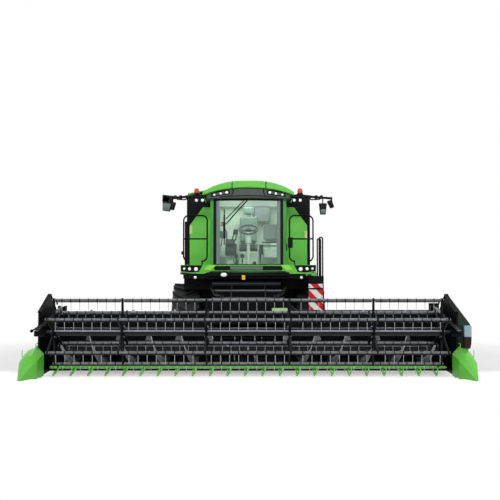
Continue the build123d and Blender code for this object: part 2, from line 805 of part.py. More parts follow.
def visor_lamp(x, z, radius, side):
    """The space of one lamp in the visor, behind its front."""
    place = Pos(side * x, visor_front(x) + lamp_depth, z) * Rot(90, 0, 0)
    return place * Cylinder(radius, lamp_depth + 4, align=(Align.CENTER, Align.CENTER, Align.MIN))


def roof_visor():
    """The dark module between the cab and its roof, with its overhang in front and the lamps' pockets."""
    half = roof_half_width
    low = [Line((x, cab_z[1]), (x, roof_section[-1][1] - seat_gap)) for x in (-half, half)]
    base = Line((-half, cab_z[1]), (half, cab_z[1]))
    visor = roof_slab([roof_line(1, seat_gap), base, *low])
    visor &= raised(roof_plan(visor_inset), (cab_z[1], roof_section[0][2]))
    for x, z, radius in visor_lamps:
        visor -= [visor_lamp(x, z, radius + seat_gap, side) for side in (-1, 1)]
    return visor


save("cab_roof", cab_roof())
save("roof_visor", roof_visor())
floor_z = cab_z[0] + cab_wall


def cab_interior():
    """The operator's seat, the side console and the steering column with its wheel."""
    yr = front_axle_y
    cushion_z, back_top = (floor_z + 440, floor_z + 580), floor_z + 1220
    seat = block((-230, 230), (yr - 420, yr + 40), cushion_z)
    seat += block((-230, 230), (yr - 60, yr + 60), (cushion_z[0], back_top))
    seat += block((-130, 130), (yr - 50, yr + 40), (back_top, back_top + 210))
    seat += block((-150, 150), (yr - 350, yr - 20), (floor_z, cushion_z[0]))
    console = block((-560, -300), (yr - 700, yr + 60), (floor_z, floor_z + 620))
    top = floor_z + 700
    column = block((-60, 60), (yr - 1020, yr - 900), (floor_z, floor_z + 60))
    column += strut((0, yr - 960, floor_z + 30), (0, yr - 800, top), 40)
    tilted = Pos(0, yr - 800, top) * Rot(25, 0, 0)
    wheel = tilted * Torus(190, 14) + tilted * Box(370, 40, 16)
    return seat, console, column + wheel


save("cab_interior", *cab_interior())


def front_panel():
    """The green panel beside the cab, on the deck, with its sloping shoulder."""
    outline = [
        (cab_half_width + 5, platform_z[1]),
        (cab_half_width + 5, panel_z[1]),
        (cab_half_width + 200, panel_z[1]),
        (panel_half_width, panel_z[0]),
        (panel_half_width, platform_z[1]),
    ]
    return front_plate(outline, (shoulder_y[0] - panel_depth, shoulder_y[0]))


def fascia_lamp(x, z, radius, side):
    """The space of one lamp in the fascia."""
    place = Pos(side * x, fascia_y[0] + lamp_depth - 4, z) * Rot(90, 0, 0)
    return place * Cylinder(radius, lamp_depth, align=(Align.CENTER, Align.CENTER, Align.MIN))


def front_fascia():
    """The band below the windscreen and across both decks' front edges, with the lamps' pockets."""
    low, high = fascia_z
    edge = platform_half_width - 17
    right = [(edge, high), (edge, low), (edge - 230, low - 30), (cab_half_width + 140, low - 40), (760, low + 20)]
    left = [(-x, z) for x, z in reversed(right)]
    band = front_plate(right + left, fascia_y) - raised(cab_plan(-seat_gap), (low - 50, high))
    for x, z, radius in fascia_lamps:
        band -= [fascia_lamp(x, z, radius + seat_gap, side) for side in (-1, 1)]
    return band


save("front_panels", both(front_panel()))
save("front_fascia", front_fascia())
arm_y = cab_y[0] - 100.0


def mirror_arm():
    """The arm out from the visor's corner, and the mirror's housing below its end."""
    y = (arm_y - arm_half_depth, arm_y + arm_half_depth)
    arm = block((roof_half_width - visor_inset, mirror_x[1] + 60), y, arm_z)
    return arm + block(mirror_x, (arm_y - 45, arm_y + 45), mirror_z)


def corner_lamp(x):
    """A lamp hung below a mirror's arm."""
    return block((x - 45, x + 45), (arm_y - 35, arm_y + 25), (arm_z[0] - 85, arm_z[0]))


save("mirrors", both(mirror_arm()))
save("beacons", both(upright(beacon_x, arm_y, (arm_z[1], arm_z[1] + beacon_height), beacon_radius)))
lamps = [visor_lamp(*lamp, side) for lamp in visor_lamps for side in (-1, 1)]
lamps += [fascia_lamp(*lamp, side) for lamp in fascia_lamps for side in (-1, 1)]
save("work_lamps", lamps, *[both(corner_lamp(x)) for x in corner_lamp_x])


def handrail():
    """The bent hoop at the front of a deck, with its middle rail and its feet on the fascia."""
    y = fascia_y[0] + 60
    (x0, x1), (low, middle, high) = hoop_x, hoop_z
    turn = hoop_bend + 10
    points = [(x0 + turn, y, low), (x0, y, low), (x0, y, high), (x1, y, high), (x1, y, low), (x1 - turn, y, low)]
    hoop = rail(points, hoop_bend, rail_radius)
    hoop += strut((x0, y, middle), (x1, y, middle), rail_radius)
    feet = [upright(x, y, (fascia_z[1], low + 5), rail_radius * 0.8) for x in (x0 + turn - 15, x1 - turn + 15)]
    return hoop + feet


save("handrails", both(handrail()))


def platforms():
    """The decks either side of the cab, and the bracket under the left one that holds the ladder's pin."""
    decks = both(block((cab_half_width, platform_half_width), platform_y, platform_z))
    x, y, radius = ladder_pin
    z = (ladder_z[1] + running_gap, platform_z[0])
    bracket = block((x - 40, x + 40), (y - 40, platform_y[0] + 60), z)
    bracket -= upright(x, y, z, radius + seat_gap)
    return decks[0] + bracket, decks[1]


save("platforms", *platforms())


def ladder():
    """The boarding ladder with its steps, hand loops and marker board."""
    stringers = [
        side_plate(
            [(y, ladder_z[0]), (y, ladder_z[1]), (y + 30, ladder_z[1]), (y + 30, ladder_z[0])],
            (ladder_x[0] + 60, ladder_x[1]),
        )
        for y in (ladder_y[0], ladder_y[1] - 30)
    ]
    steps = [
        block((ladder_x[0] + 60, ladder_x[1]), ladder_y, (z, z + 35))
        for z in (ladder_z[0], 760, 1040, 1320, 1600)
    ]
    x, y, radius = ladder_pin
    post = upright(x, y, (1500, ladder_z[1]), 28) + upright(x, y, (ladder_z[1], platform_z[0]), radius)
    link = block((ladder_x[0] + 30, ladder_x[0] + 70), (ladder_y[0] + 10, ladder_y[0] + 50), (1560, 1800))
    loops = [
        rail(
            [
                (ladder_x[1] - 20, y, ladder_z[1] - 10),
                (ladder_x[1] - 20, y, 2640),
                (ladder_x[1] - 90, y, 2640),
                (ladder_x[1] - 90, y, ladder_z[1] - 10),
            ],
            30,
            15,
        )
        for y in (ladder_y[0] + 15, ladder_y[1] - 15)
    ]
    return stringers[0] + stringers[1] + steps + post + link + loops


save("ladder", ladder())
save(
    "marker_board",
    block((ladder_x[0] + 5, ladder_x[1] - 15), (ladder_y[0] - 12, ladder_y[0]), (1090, 1690)),
)

# Feeder house and header


def feeder_house():
    """The hollow feeder house, open at the front, with its trunnions and cylinder lugs."""
    py, pz = feeder_pivot_y, feeder_pivot_z
    x = (-feeder_half_width, feeder_half_width)
    outline = [
        (header_back_y, 300),
        (header_back_y, 960),
        (py - 80, pz + 192),
        (py + 60, pz - 195),
    ]
    house = side_plate(outline, x)
    house += cross_bar(x, py, pz, feeder_drum_radius)
    inner = [
        (header_back_y - 1, 360),
        (header_back_y - 1, 900),
        (py - 260, pz + 40),
        (py - 200, pz - 260),
    ]
    mouth = (-auger_mouth_half_width, auger_mouth_half_width)
    house -= side_plate(inner, mouth)
    reach = feeder_half_width + running_gap + bracket_wall
    house += cross_bar((-reach, reach), py, pz, trunnion_radius)
    y, z = lift_eye
    lug = [
        (y - 60, z - 50),
        (y - 160, 620),
        (y + 200, 780),
        (y + 60, z - 50),
    ]
    pair = ears(lift_x, y, z, lift_width, lug_wall, lug, lift_pin_radius)
    low = lift_x - lift_width / 2 - running_gap
    pin = cross_bar((low, lift_x + lift_width / 2 + running_gap), y, z, lift_pin_radius)
    return house + both(pair[0] + pair[1] + pin)


save("feeder_house", feeder_house())


def header_table():
    """The header's floor with its trough round the auger, and the rail behind the guards."""
    trough = auger_radius + trough_gap
    front = knife_y + 20
    wall_y = header_back_y - back_wall
    outline = [
        (front, table_z[0]),
        (front, table_z[1]),
        (auger_y - 60, table_z[1]),
        (auger_y - 60, trough_top_z),
        (wall_y, trough_top_z),
        (wall_y, table_z[0]),
    ]
    table = side_plate(outline, (-table_half_width, table_half_width))
    return table - cross_bar((-table_half_width, table_half_width), auger_y, auger_z, trough)


def arm_post():
    """The two plates on the header's top that hold the left reel arm's pin."""
    y, z = reel_arm_pivot_y, reel_arm_pivot_z
    plates = []
    out = reel_arm_half_width + running_gap
    for low in (reel_arm_x - out - post_wall, reel_arm_x + out):
        plate = block((low, low + post_wall), (y - 60, y + 70), (header_top_z - 20, z + 60))
        plates.append(plate - cross_bar((low, low + post_wall), y, z, reel_arm_pin_radius + seat_gap))
    return plates[0] + plates[1]


def header_back():
    """The header's back wall with the feeder opening, its top and bottom tubes and its uprights."""
    x = (-table_half_width, table_half_width)
    wall = block(x, (header_back_y - back_wall, header_back_y), (table_z[0], header_top_z))
    opening = block(
        (-auger_mouth_half_width, auger_mouth_half_width),
        (header_back_y - back_wall - 1, header_back_y + 1),
        (360, 900),
    )
    top = block(x, (header_back_y, header_back_y + 100), (header_top_z - 80, header_top_z))
    bottom = block(x, (header_back_y, header_back_y + 110), (table_z[0], table_z[0] + 120))
    posts = [
        block((px - 40, px + 40), (header_back_y, header_back_y + 90), (table_z[0], header_top_z))
        for px in (800, 2200, table_half_width - 40)
    ]
    y, z = reel_ram_base
    front = header_back_y - back_wall
    lug = [(front, z - 60), (y - 30, z - 30), (y - 30, z + 30), (front, z + 60)]
    for plate in ears(reel_arm_x, y, z, reel_ram_width, reel_lug_wall, lug, reel_pin_radius + seat_gap):
        posts.append(plate)
    hump = block((-hump_half_width, hump_half_width), (header_back_y, header_back_y + 60), (header_top_z, hump_top_z))
    y = header_back_y + 70
    screen = block((reel_arm_x - 75, table_half_width), (y, y + 25), (header_top_z, hump_top_z - 30))
    back = wall - opening + top + bottom + hump + screen
    for post in posts:
        back += both(post)
    return back


save("header_frame", header_table() + header_back() + both(arm_post()))


def end_sheet():
    """The header's left end sheet, from the back wall to the divider."""
    yr = front_axle_y
    outline = [
        (header_back_y + 110, 90),
        (header_back_y + 110, 1090),
        (yr - 3020, 1480),
        (divider_back_y, 1165),
        (divider_back_y, 60),
        (yr - 3400, 40),
    ]
    x = (table_half_width, header_half_width)
    return side_plate(outline, x) - cross_bar(x, auger_y, auger_z, auger_shaft_radius + seat_gap)


left_sheet, right_sheet = both(end_sheet())
lever_y = front_axle_y - 3560.0
lever = strut((-header_half_width + 10, lever_y, 925), (-header_half_width - 155, lever_y, 820), 14)
save("end_sheets", left_sheet, right_sheet + lever)


def divider():
    """The pointed crop divider ahead of the left end sheet."""
    yr = front_axle_y
    # Columns: y, then (x, z) from the inner foot over the ridge to the outer foot
    sections = (
        (divider_back_y, ((3585, 40), (3585, 430), (3700, 555), (3870, 500), (3970, 380), (3970, 40))),
        (yr - 3980, ((3640, 30), (3640, 330), (3740, 425), (3865, 385), (3950, 290), (3950, 30))),
        (yr - 4255, ((3850, 12), (3850, 42), (3860, 58), (3880, 60), (3893, 45), (3893, 12))),
    )
    faces = [Plane.XZ.offset(-y) * Polygon(*corners, align=None) for y, corners in sections]
    return loft(faces, ruled=True)


save("crop_dividers", both(divider()))


def drive_shield():
    """The belt drive's shield on the left end sheet, its top sloping outwards."""
    yr = front_axle_y
    x = (header_half_width, header_half_width + 225)
    outline = [
        (yr - 2560, 420),
        (yr - 2560, 1060),
        (yr - 2960, 1400),
        (shield_front_y, 930),
        (shield_front_y, 530),
        (yr - 3300, 420),
    ]
    shield = side_plate(outline, x)
    slope = front_plate(
        [(x[0] + 5, 1600), (x[1] + 10, 1600), (x[1] + 10, 930)],
        (yr - 3900, yr - 2500),
    )
    return shield - slope


save("drive_shield", drive_shield())
save("marker_lamp", block((3796, 3925), (shield_front_y - 60, shield_front_y), (530, 925)))


def cutter_bar():
    """The guard bar with its pointed guards and the crop lifters on every fourth one."""
    front = knife_y
    bar = block((-cut_half_width, cut_half_width), (front, front + 60), (knife_z - 20, knife_z + 10))
    guards, lifters = [], []
    for i, x in enumerate(spread(-cut_half_width + 30, cut_half_width - 30, guard_pitch)):
        outline = [(x - 16, front), (x + 16, front), (x + 5, front - guard_length), (x - 5, front - guard_length)]
        guards.append(floor_plate(outline, (knife_z - 12, knife_z + 8)))
        if i % lifter_every == 1:
            shape = [(front + y, knife_z + z) for y, z in lifter_outline]
            lifters.append(side_plate(shape, (x - lifter_wall / 2, x + lifter_wall / 2)))
    return bar + guards + lifters


save("cutter_bar", cutter_bar())


def auger_flight(start):
    """A helical flight of flat facets, from the left end of the auger to the feeder's mouth."""
    half = auger_flight_wall / 2
    reach = auger_half_length - auger_mouth_half_width - 2 * half
    steps = int(reach / auger_pitch * flight_steps)
    rings = []
    for i in range(steps + 1):
        x = auger_half_length - half - i * reach / steps
        a = radians(start + i * 360 / flight_steps)
        low, high = auger_tube_radius - 8, auger_radius
        ring = [(x - half, low), (x + half, low), (x + half, high), (x - half, high)]
        rings.append([Vector(px, auger_y - r * sin(a), auger_z + r * cos(a)) for px, r in ring])
    faces = [Face(Wire.make_polygon(ring)) for ring in (rings[0], rings[-1])]
    for near, far in zip(rings, rings[1:]):
        for k in range(4):
            a, b, c, d = near[k], near[(k + 1) % 4], far[(k + 1) % 4], far[k]
            faces += [Face(Wire.make_polygon(corners)) for corners in ((a, b, c), (a, c, d))]
    return Solid(Shell(faces))


def table_auger():
    """The header auger: tube, end shafts, one helical flight each side and the feeder's fingers."""
    tube = cross_bar((-auger_half_length, auger_half_length), auger_y, auger_z, auger_tube_radius)
    reach = table_half_width + 0.75 * end_sheet_wall
    tube += cross_bar((-reach, reach), auger_y, auger_z, auger_shaft_radius)
    fingers = []
    for i, x in enumerate(spread(-500, 500, 125)):
        for turn in (0, 180):
            place = Pos(x, auger_y, auger_z) * Rot(i * 67 + turn, 0, 0)
            fingers.append(place * block((-7, 7), (-7, 7), (auger_tube_radius - 10, auger_radius - 15)))
    return tube + both(auger_flight(30)) + fingers


save("table_auger", table_auger())

# Reel


def bat_place(index):
    """The (y, z) of a bat's axis at rest."""
    a = radians(90 + reel_phase + index * 360 / bat_count)
    return (reel_y + reel_radius * cos(a), reel_z + reel_radius * sin(a))


def reel_rotor():
    """The reel's tube and the spiders that carry the bats."""
    rotor = cross_bar((-reel_tube_half_length, reel_tube_half_length), reel_y, reel_z, reel_tube_radius)
    places = [s * x for x in spider_x for s in (-1, 1)]
    spiders = []
    for x in places:
        span = (x - spider_wall / 2, x + spider_wall / 2)
        hexagon = Plane.YZ.offset(span[0]) * Pos(reel_y, reel_z) * RegularPolygon(spider_hub, bat_count)
        star = extrude(hexagon, spider_wall, dir=(1, 0, 0))
        for i in range(bat_count):
            y, z = bat_place(i)
            arm = Pos(x, reel_y, reel_z) * Rot(degrees(atan2(z - reel_z, y - reel_y)), 0, 0)
            star += arm * Pos(0, (reel_radius + 32) / 2, 0) * Box(spider_wall, reel_radius + 32, spider_arm)
        for i in range(bat_count):
            y, z = bat_place(i)
            star -= cross_bar(span, y, z, bat_radius + seat_gap)
        spiders.append(star)
    shaft = cross_bar((-reel_arm_x - 60, reel_arm_x + 60), reel_y, reel_z, reel_shaft_radius)
    return rotor + spiders + shaft


save("reel_rotor", reel_rotor())


def reel_bat(index):
    """One bat: its tube, and its tines hanging straight down between the spiders."""
    y, z = bat_place(index)
    bat = cross_bar((-bat_half_length, bat_half_length), y, z, bat_radius)
    tines = []
    for x in spread(-bat_half_length + 110, bat_half_length - 110, tine_pitch):
        if min(abs(abs(x) - s) for s in spider_x) < 30:
            continue
        half = tine_section[0] / 2
        deep = tine_section[1] / 2
        tines.append(block((x - half, x + half), (y - deep, y + deep), (z - tine_length, z)))
    return bat + tines


for i in range(bat_count):
    save(f"reel_bat_{i + 1}", reel_bat(i))


def reel_arm():
    """The left arm that carries the reel, from its post on the header to past the reel's shaft."""
    x = (reel_arm_x - reel_arm_half_width, reel_arm_x + reel_arm_half_width)
    py, pz = reel_arm_pivot_y, reel_arm_pivot_z
    slope = (reel_z + 75 - pz) / (reel_y - py)
    ahead = -420
    outline = [
        (py + 60, pz - 45),
        (py + 60, pz + 45),
        (py - 60, pz + 45),
        (reel_y + ahead, reel_z + 75 + slope * ahead + 45),
        (reel_y + ahead, reel_z + 75 + slope * ahead - 45),
        (py - 60, pz - 45),
    ]
    arm = side_plate(outline, x)
    reach = reel_arm_half_width + running_gap + post_wall
    arm += cross_bar((reel_arm_x - reach, reel_arm_x + reach), py, pz, reel_arm_pin_radius)
    hanger = [
        (reel_y - 70, reel_z + 60),
        (reel_y - 50, reel_z - 50),
        (reel_y + 50, reel_z - 50),
        (reel_y + 70, reel_z + 60),
    ]
    arm += side_plate(hanger, x)
    arm -= cross_bar(x, reel_y, reel_z, reel_shaft_radius + seat_gap)
    y, z = reel_eye
    lug = [(y - 40, z - 40), (y - 70, z + 110), (y + 70, z + 130), (y + 40, z - 40)]
    for plate in ears(reel_arm_x, y, z, reel_ram_width, reel_lug_wall, lug, 5):
        arm += plate
    reach = reel_ram_width / 2 + running_gap + 1
    return arm + cross_bar((reel_arm_x - reach, reel_arm_x + reach), y, z, reel_pin_radius)


save("reel_arms", both(reel_arm()))
reel_barrel, reel_rod = ram(
    reel_arm_x, reel_ram_base, reel_eye, 0.68, 26, 14, reel_ram_width, reel_pin_radius, reel_eye_bore
)
save("reel_barrels", both(reel_barrel))
save("reel_rods", both(reel_rod))
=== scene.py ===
# %% [markdown]
# # A combine harvester in the studio
# The solids were built in CAD and packed, and this script dresses them. It loads them as a fixed frame in
# metres, with the ground at z = 0, the machine driving towards -Y and its ladder on the +X side. Some solids
# keep their own mesh and get a finish, others are stood for by a finer piece made here.

# %% Load the frame
import json
from math import atan2, cos, pi, radians, sin, tau

import bmesh
import bpy
from mathutils import Matrix, Vector
from mathutils.bvhtree import BVHTree

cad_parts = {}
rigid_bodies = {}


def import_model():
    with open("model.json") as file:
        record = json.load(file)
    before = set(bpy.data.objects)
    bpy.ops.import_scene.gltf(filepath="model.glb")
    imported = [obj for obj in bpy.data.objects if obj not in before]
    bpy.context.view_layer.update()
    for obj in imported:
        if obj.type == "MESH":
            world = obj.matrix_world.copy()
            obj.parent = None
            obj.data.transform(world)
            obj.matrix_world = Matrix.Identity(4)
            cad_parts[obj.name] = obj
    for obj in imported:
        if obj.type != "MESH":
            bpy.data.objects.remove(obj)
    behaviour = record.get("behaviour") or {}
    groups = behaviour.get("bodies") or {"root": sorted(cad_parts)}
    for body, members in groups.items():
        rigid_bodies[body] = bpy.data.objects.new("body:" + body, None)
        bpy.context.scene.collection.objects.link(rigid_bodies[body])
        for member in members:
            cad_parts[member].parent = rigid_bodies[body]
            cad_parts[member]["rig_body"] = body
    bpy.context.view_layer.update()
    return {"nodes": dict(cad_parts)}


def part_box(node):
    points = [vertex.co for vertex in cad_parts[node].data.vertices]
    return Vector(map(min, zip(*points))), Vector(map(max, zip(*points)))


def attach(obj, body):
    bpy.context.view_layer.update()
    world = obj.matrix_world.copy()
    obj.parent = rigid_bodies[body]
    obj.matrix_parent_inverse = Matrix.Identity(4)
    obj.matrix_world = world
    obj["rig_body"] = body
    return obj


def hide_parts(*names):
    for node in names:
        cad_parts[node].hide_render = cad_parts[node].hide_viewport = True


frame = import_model()
nodes = frame["nodes"]

# %% [markdown]
# ## Camera
# The photograph is a front view from about head height, 17 m ahead of the drive axle. The guards on the
# cutter bar are a known distance apart, and they give the lens. The camera tilts up a little, so that the
# ground falls below the middle of the frame.


# %% Camera
def stand(name, data):
    """An object in the scene that shows the data."""
    made = bpy.data.objects.new(name, data)
    bpy.context.scene.collection.objects.link(made)
    return made


camera = stand("camera", bpy.data.cameras.new("camera"))
camera.data.sensor_width = 36.0
camera.data.lens = 55.7
camera.location = (0.035, -18.2, 1.55)
camera.rotation_euler = (radians(90 + 2.96), 0, 0)
camera.data.clip_end = 200
bpy.context.scene.camera = camera

# %% [markdown]
# ## Colours and nodes
# Colours are written as sRGB hex values, as a paint card gives them. Shaders work in linear light, so one
# function turns the one into the other, and `add` calls it for every hex value that it is given. An input
# may also be a node, which then feeds in by its first output.


# %% Colour and node helpers
def linear(code, alpha=1.0):
    """An sRGB hex value as the linear colour a shader wants."""
    parts = [int(code[i : i + 2], 16) / 255 for i in (1, 3, 5)]
    return (*[c / 12.92 if c <= 0.04045 else ((c + 0.055) / 1.055) ** 2.4 for c in parts], alpha)


def add(tree, kind, inputs=(), **settings):
    """Adds a shader node with its settings; each input is a value, a hex colour, a node or an output."""
    made = tree.nodes.new("ShaderNode" + kind)
    for name, value in settings.items():
        setattr(made, name, value)
    for socket, value in dict(inputs).items():
        if isinstance(value, bpy.types.Node):
            value = value.outputs[0]
        if isinstance(value, bpy.types.NodeSocket):
            tree.links.new(value, made.inputs[socket])
        else:
            made.inputs[socket].default_value = linear(value) if isinstance(value, str) else value
    return made


def start_material(name):
    """An empty node material, its tree, and the object coordinates in it."""
    material = bpy.data.materials.new(name)
    material.use_nodes = True
    tree = material.node_tree
    tree.nodes.clear()
    return material, tree, add(tree, "TexCoord").outputs["Object"]


def finish_material(tree, inputs):
    """Ends a material in one Principled shader."""
    add(tree, "OutputMaterial", {"Surface": add(tree, "BsdfPrincipled", inputs)})


# %% [markdown]
# ## Studio
# The photograph is cut out on white. The floor and the world show as white to the camera and in
# reflections, but the floor still takes the soft shadow under the machine, and it fades to the backdrop's
# white further out. Five large soft lamps stand round it, so that the back and the sides are lit as well
# as the front.


# %% World
def seen_and_lit(tree, lit, seen):
    """One shader for the light that falls on things, another for what is seen, mirrored or shows through."""
    rays = add(tree, "LightPath").outputs
    share = add(tree, "Math", {0: rays["Is Camera Ray"], 1: rays["Is Glossy Ray"]}, operation="MAXIMUM")
    share = add(tree, "Math", {0: share, 1: rays["Is Transmission Ray"]}, operation="MAXIMUM")
    return add(tree, "MixShader", {0: share, 1: lit, 2: seen})


world = bpy.data.worlds.new("studio")
world.use_nodes = True
sky = world.node_tree
sky.nodes.clear()
ambient = add(sky, "Background", {"Color": "#F4F6F8", "Strength": 0.42})
backdrop = add(sky, "Background", {"Color": "#FFFFFF", "Strength": 1.0})
add(sky, "OutputWorld", {"Surface": seen_and_lit(sky, ambient, backdrop)})
bpy.context.scene.world = world
bpy.context.scene.view_settings.view_transform = "Standard"

# %% Soft lamps
# Columns: name, place, size across and high in metres, watts
aim = Vector((0, 0, 1.6))
for name, place, size, power in (
    ("key", (-1.5, -15, 8.6), (20, 1.7), 1450),
    ("fill", (12, -12, 5.5), (6, 6), 480),
    ("top", (0, 0, 14), (10, 12), 520),
    ("rear_left", (9, 14, 9), (8, 6), 640),
    ("rear_right", (-11, 12, 7), (8, 6), 520),
):
    lamp = stand(name, bpy.data.lights.new(name, "AREA"))
    lamp.data.shape = "RECTANGLE"
    lamp.data.size, lamp.data.size_y = size
    lamp.data.energy = power
    lamp.location = place
    lamp.rotation_euler = (aim - Vector(place)).to_track_quat("-Z", "Y").to_euler()

# %% Floor
floor_paint, tree, at = start_material("matt studio floor")
grain = add(tree, "TexNoise", {"Vector": at, "Scale": 3.0, "Detail": 2.0})
matt = add(tree, "BsdfDiffuse", {"Color": add(tree, "MixRGB", {0: grain, 1: "#BFC0C1", 2: "#C4C4C4"})})
pale = add(tree, "BsdfDiffuse", {"Color": "#C8C8C8"})
# The floor is a sweep that grows brighter towards the front, so the shadow is dark only deep under the header
depth = add(tree, "SeparateXYZ", {"Vector": at}).outputs["Y"]
limits = {"From Min": -3.1, "From Max": -4.5, "To Min": 0.3, "To Max": 0.84}
rise = add(tree, "MapRange", {"Value": depth, **limits})
near = add(tree, "AddShader", {0: pale, 1: add(tree, "Emission", {"Color": "#FFFDFC", "Strength": rise})})
far = add(tree, "Emission", {"Color": "#FFFFFF", "Strength": 1.0})
away = add(tree, "VectorMath", {0: at}, operation="LENGTH").outputs["Value"]
fade = add(tree, "MapRange", {"Value": away, "From Min": 5.5, "From Max": 9.0})
sweep = add(tree, "MixShader", {0: fade, 1: near, 2: far})
add(tree, "OutputMaterial", {"Surface": seen_and_lit(tree, matt, sweep)})
bm = bmesh.new()
bmesh.ops.create_grid(bm, x_segments=2, y_segments=2, size=60)
floor = stand("floor", bpy.data.meshes.new("floor"))
bm.to_mesh(floor.data)
bm.free()
floor.data.materials.append(floor_paint)
print("floor and lamps are set")

# %% [markdown]
# ## Paint
# Machine paint is sprayed and baked. Seen close, it has a fine orange peel, it is never quite even, and
# field dust settles low down. The gloss green and the black of the header are the same recipe with other
# values, so one function makes them all.

# %% Real sizes of the patterns in metres
dust_patch = 0.04
orange_peel = 0.009  # really about 2 mm, but then it would not show at all
scratch = 0.004
stain = 0.12
soil_patch = 0.09
film_cell = 0.012
thread = 0.005  # really about 1 mm, too fine to show
lozenge_gap = 0.03
screen_hole = 0.014
wave_unit = 0.314  # a wave texture of this scale has one rib to the metre


# %% Painted metal
def paint(name, colour, shade, rough, coat, dust=0.12, shine=0.5):
    """Sprayed paint: base colour, its darker shade in soft clouds, and a little dust near the ground."""
    material, tree, at = start_material(name)
    cloud = add(tree, "TexNoise", {"Vector": at, "Scale": 1.7, "Detail": 5.0, "Roughness": 0.6})
    even = add(tree, "MapRange", {"Value": cloud, "From Min": 0.35, "From Max": 0.7, "To Max": 0.55})
    tone = add(tree, "MixRGB", {0: even, 1: colour, 2: shade})
    height = add(tree, "SeparateXYZ", {"Vector": at}).outputs["Z"]
    low = add(tree, "MapRange", {"Value": height, "From Min": 1.3, "From Max": 0.05, "To Max": dust})
    patch = add(tree, "TexNoise", {"Vector": at, "Scale": 1 / dust_patch, "Detail": 6.0, "Roughness": 0.7})
    share = add(tree, "MapRange", {"Value": patch, "From Min": 0.4, "From Max": 0.65, "To Min": 0.15})
    dusty = add(tree, "Math", {0: low, 1: share}, operation="MULTIPLY")
    limits = {"From Min": 0.3, "From Max": 0.7, "To Min": rough, "To Max": rough + 0.1}
    peel = add(tree, "TexNoise", {"Vector": at, "Scale": 1 / orange_peel, "Detail": 1.0})
    look = {
        "Base Color": add(tree, "MixRGB", {0: dusty, 1: tone, 2: "#8F8068"}),
        "Roughness": add(tree, "MapRange", {"Value": patch, **limits}),
        "Specular IOR Level": shine,
        "Coat Weight": coat,
        "Coat Roughness": 0.12,
        "Normal": add(tree, "Bump", {"Strength": 0.06, "Distance": 0.002, "Height": peel}),
    }
    finish_material(tree, look)
    return material


green = paint("gloss green machine paint", "#5CBD38", "#50AE30", 0.32, 0.25, 0.1, 0.35)
post_green = paint("deep green cab post", "#3C9638", "#348A30", 0.36, 0.2, 0.06, 0.3)
light_green = paint("light green moulded panel", "#8EDC48", "#7FCE3C", 0.38, 0.2, 0.08, 0.35)
fresh_green = paint("bright green sprayed guard", "#62C038", "#55B530", 0.34, 0.3, 0.05)
lime_paint = paint("faded lime paint", "#A3CC86", "#8FB872", 0.5, 0.05, 0.06)
black = paint("satin black sprayed steel", "#06080B", "#040507", 0.4, 0.0, 0.008, 0.06)
tube_paint = paint("gloss black sprayed tube", "#070A10", "#05070B", 0.15, 0.0, 0.01, 0.2)
frame_paint = paint("dark grey chassis paint", "#090B0D", "#060709", 0.45, 0.0, 0.02, 0.08)
shield_paint = paint("black green fibreglass", "#15251D", "#0E1A14", 0.4, 0.0, 0.01, 0.1)
# Lighter than the house's black, this grey is partly a painted highlight on the feeder's shaft and ribs
graphite = paint("graphite sprayed shaft", "#2E3237", "#24282D", 0.25, 0.2, 0.03, 0.5)
silver = paint("silver wheel enamel", "#B4B8BB", "#A5AAAD", 0.36, 0.3, 0.5)
yellow = paint("yellow enamel plate", "#E8B81E", "#DDAA14", 0.35, 0.3)

# %% [markdown]
# ## Bare and plated metal
# Reel tines and bats are spring steel rubbed bright by the crop, with fine scratches along their length.
# Cylinder rods are hard chrome: smooth, with only faint grinding rings. Both are metals, so their colour is
# in the reflection, and the IOR stays at its default.


# %% Metals
def metal(name, colour, shade, rough, stretch, spread, metallic=1.0):
    """A worked metal with fine marks stretched along one axis."""
    material, tree, at = start_material(name)
    along = add(tree, "Mapping", {"Vector": at, "Scale": stretch})
    marks = add(tree, "TexNoise", {"Vector": along, "Scale": 1 / scratch, "Detail": 4.0})
    cloud = add(tree, "TexNoise", {"Vector": at, "Scale": 1 / stain, "Detail": 5.0})
    limits = {"From Min": 0.3, "From Max": 0.7, "To Min": rough, "To Max": rough + spread}
    look = {
        "Base Color": add(tree, "MixRGB", {0: cloud, 1: colour, 2: shade}),
        "Metallic": metallic,
        "Roughness": add(tree, "MapRange", {"Value": marks, **limits}),
        "Normal": add(tree, "Bump", {"Strength": 0.08, "Distance": 0.001, "Height": marks}),
    }
    finish_material(tree, look)
    return material


spring_steel = metal("rubbed spring steel", "#B4B7BA", "#7C8084", 0.3, (0.05, 1, 1), 0.2, 0.85)
bat_steel = metal("oiled steel bat tube", "#737378", "#34353A", 0.26, (0.02, 1, 1), 0.15, 0.75)
worn_steel = metal("crop polished steel", "#D6DADC", "#A2A7AA", 0.28, (0.2, 1, 1), 0.2, 0.35)
# The pale grey of the reel tube's strips is a painted highlight
highlight_strip_grey = metal("painted seam strip", "#7E868D", "#6B7279", 0.35, (0.05, 1, 1), 0.1, 0.2)
chrome = metal("hard chrome", "#D4D7DA", "#C6CACD", 0.08, (1, 0.1, 1), 0.06)
zinc = metal("zinc plated bolt", "#B7BABB", "#8F9496", 0.35, (1, 1, 1), 0.15)
mirror_glass = metal("silvered mirror", "#DCE2E4", "#D2D9DC", 0.03, (1, 1, 1), 0.02)

# %% [markdown]
# ## Rubber and plastic
# Tyres are carbon black rubber, matt and a little dusty. Mouldings round the cab have a fine leather-like
# grain pressed in by the mould. A cellular pattern, bumped, gives that grain.


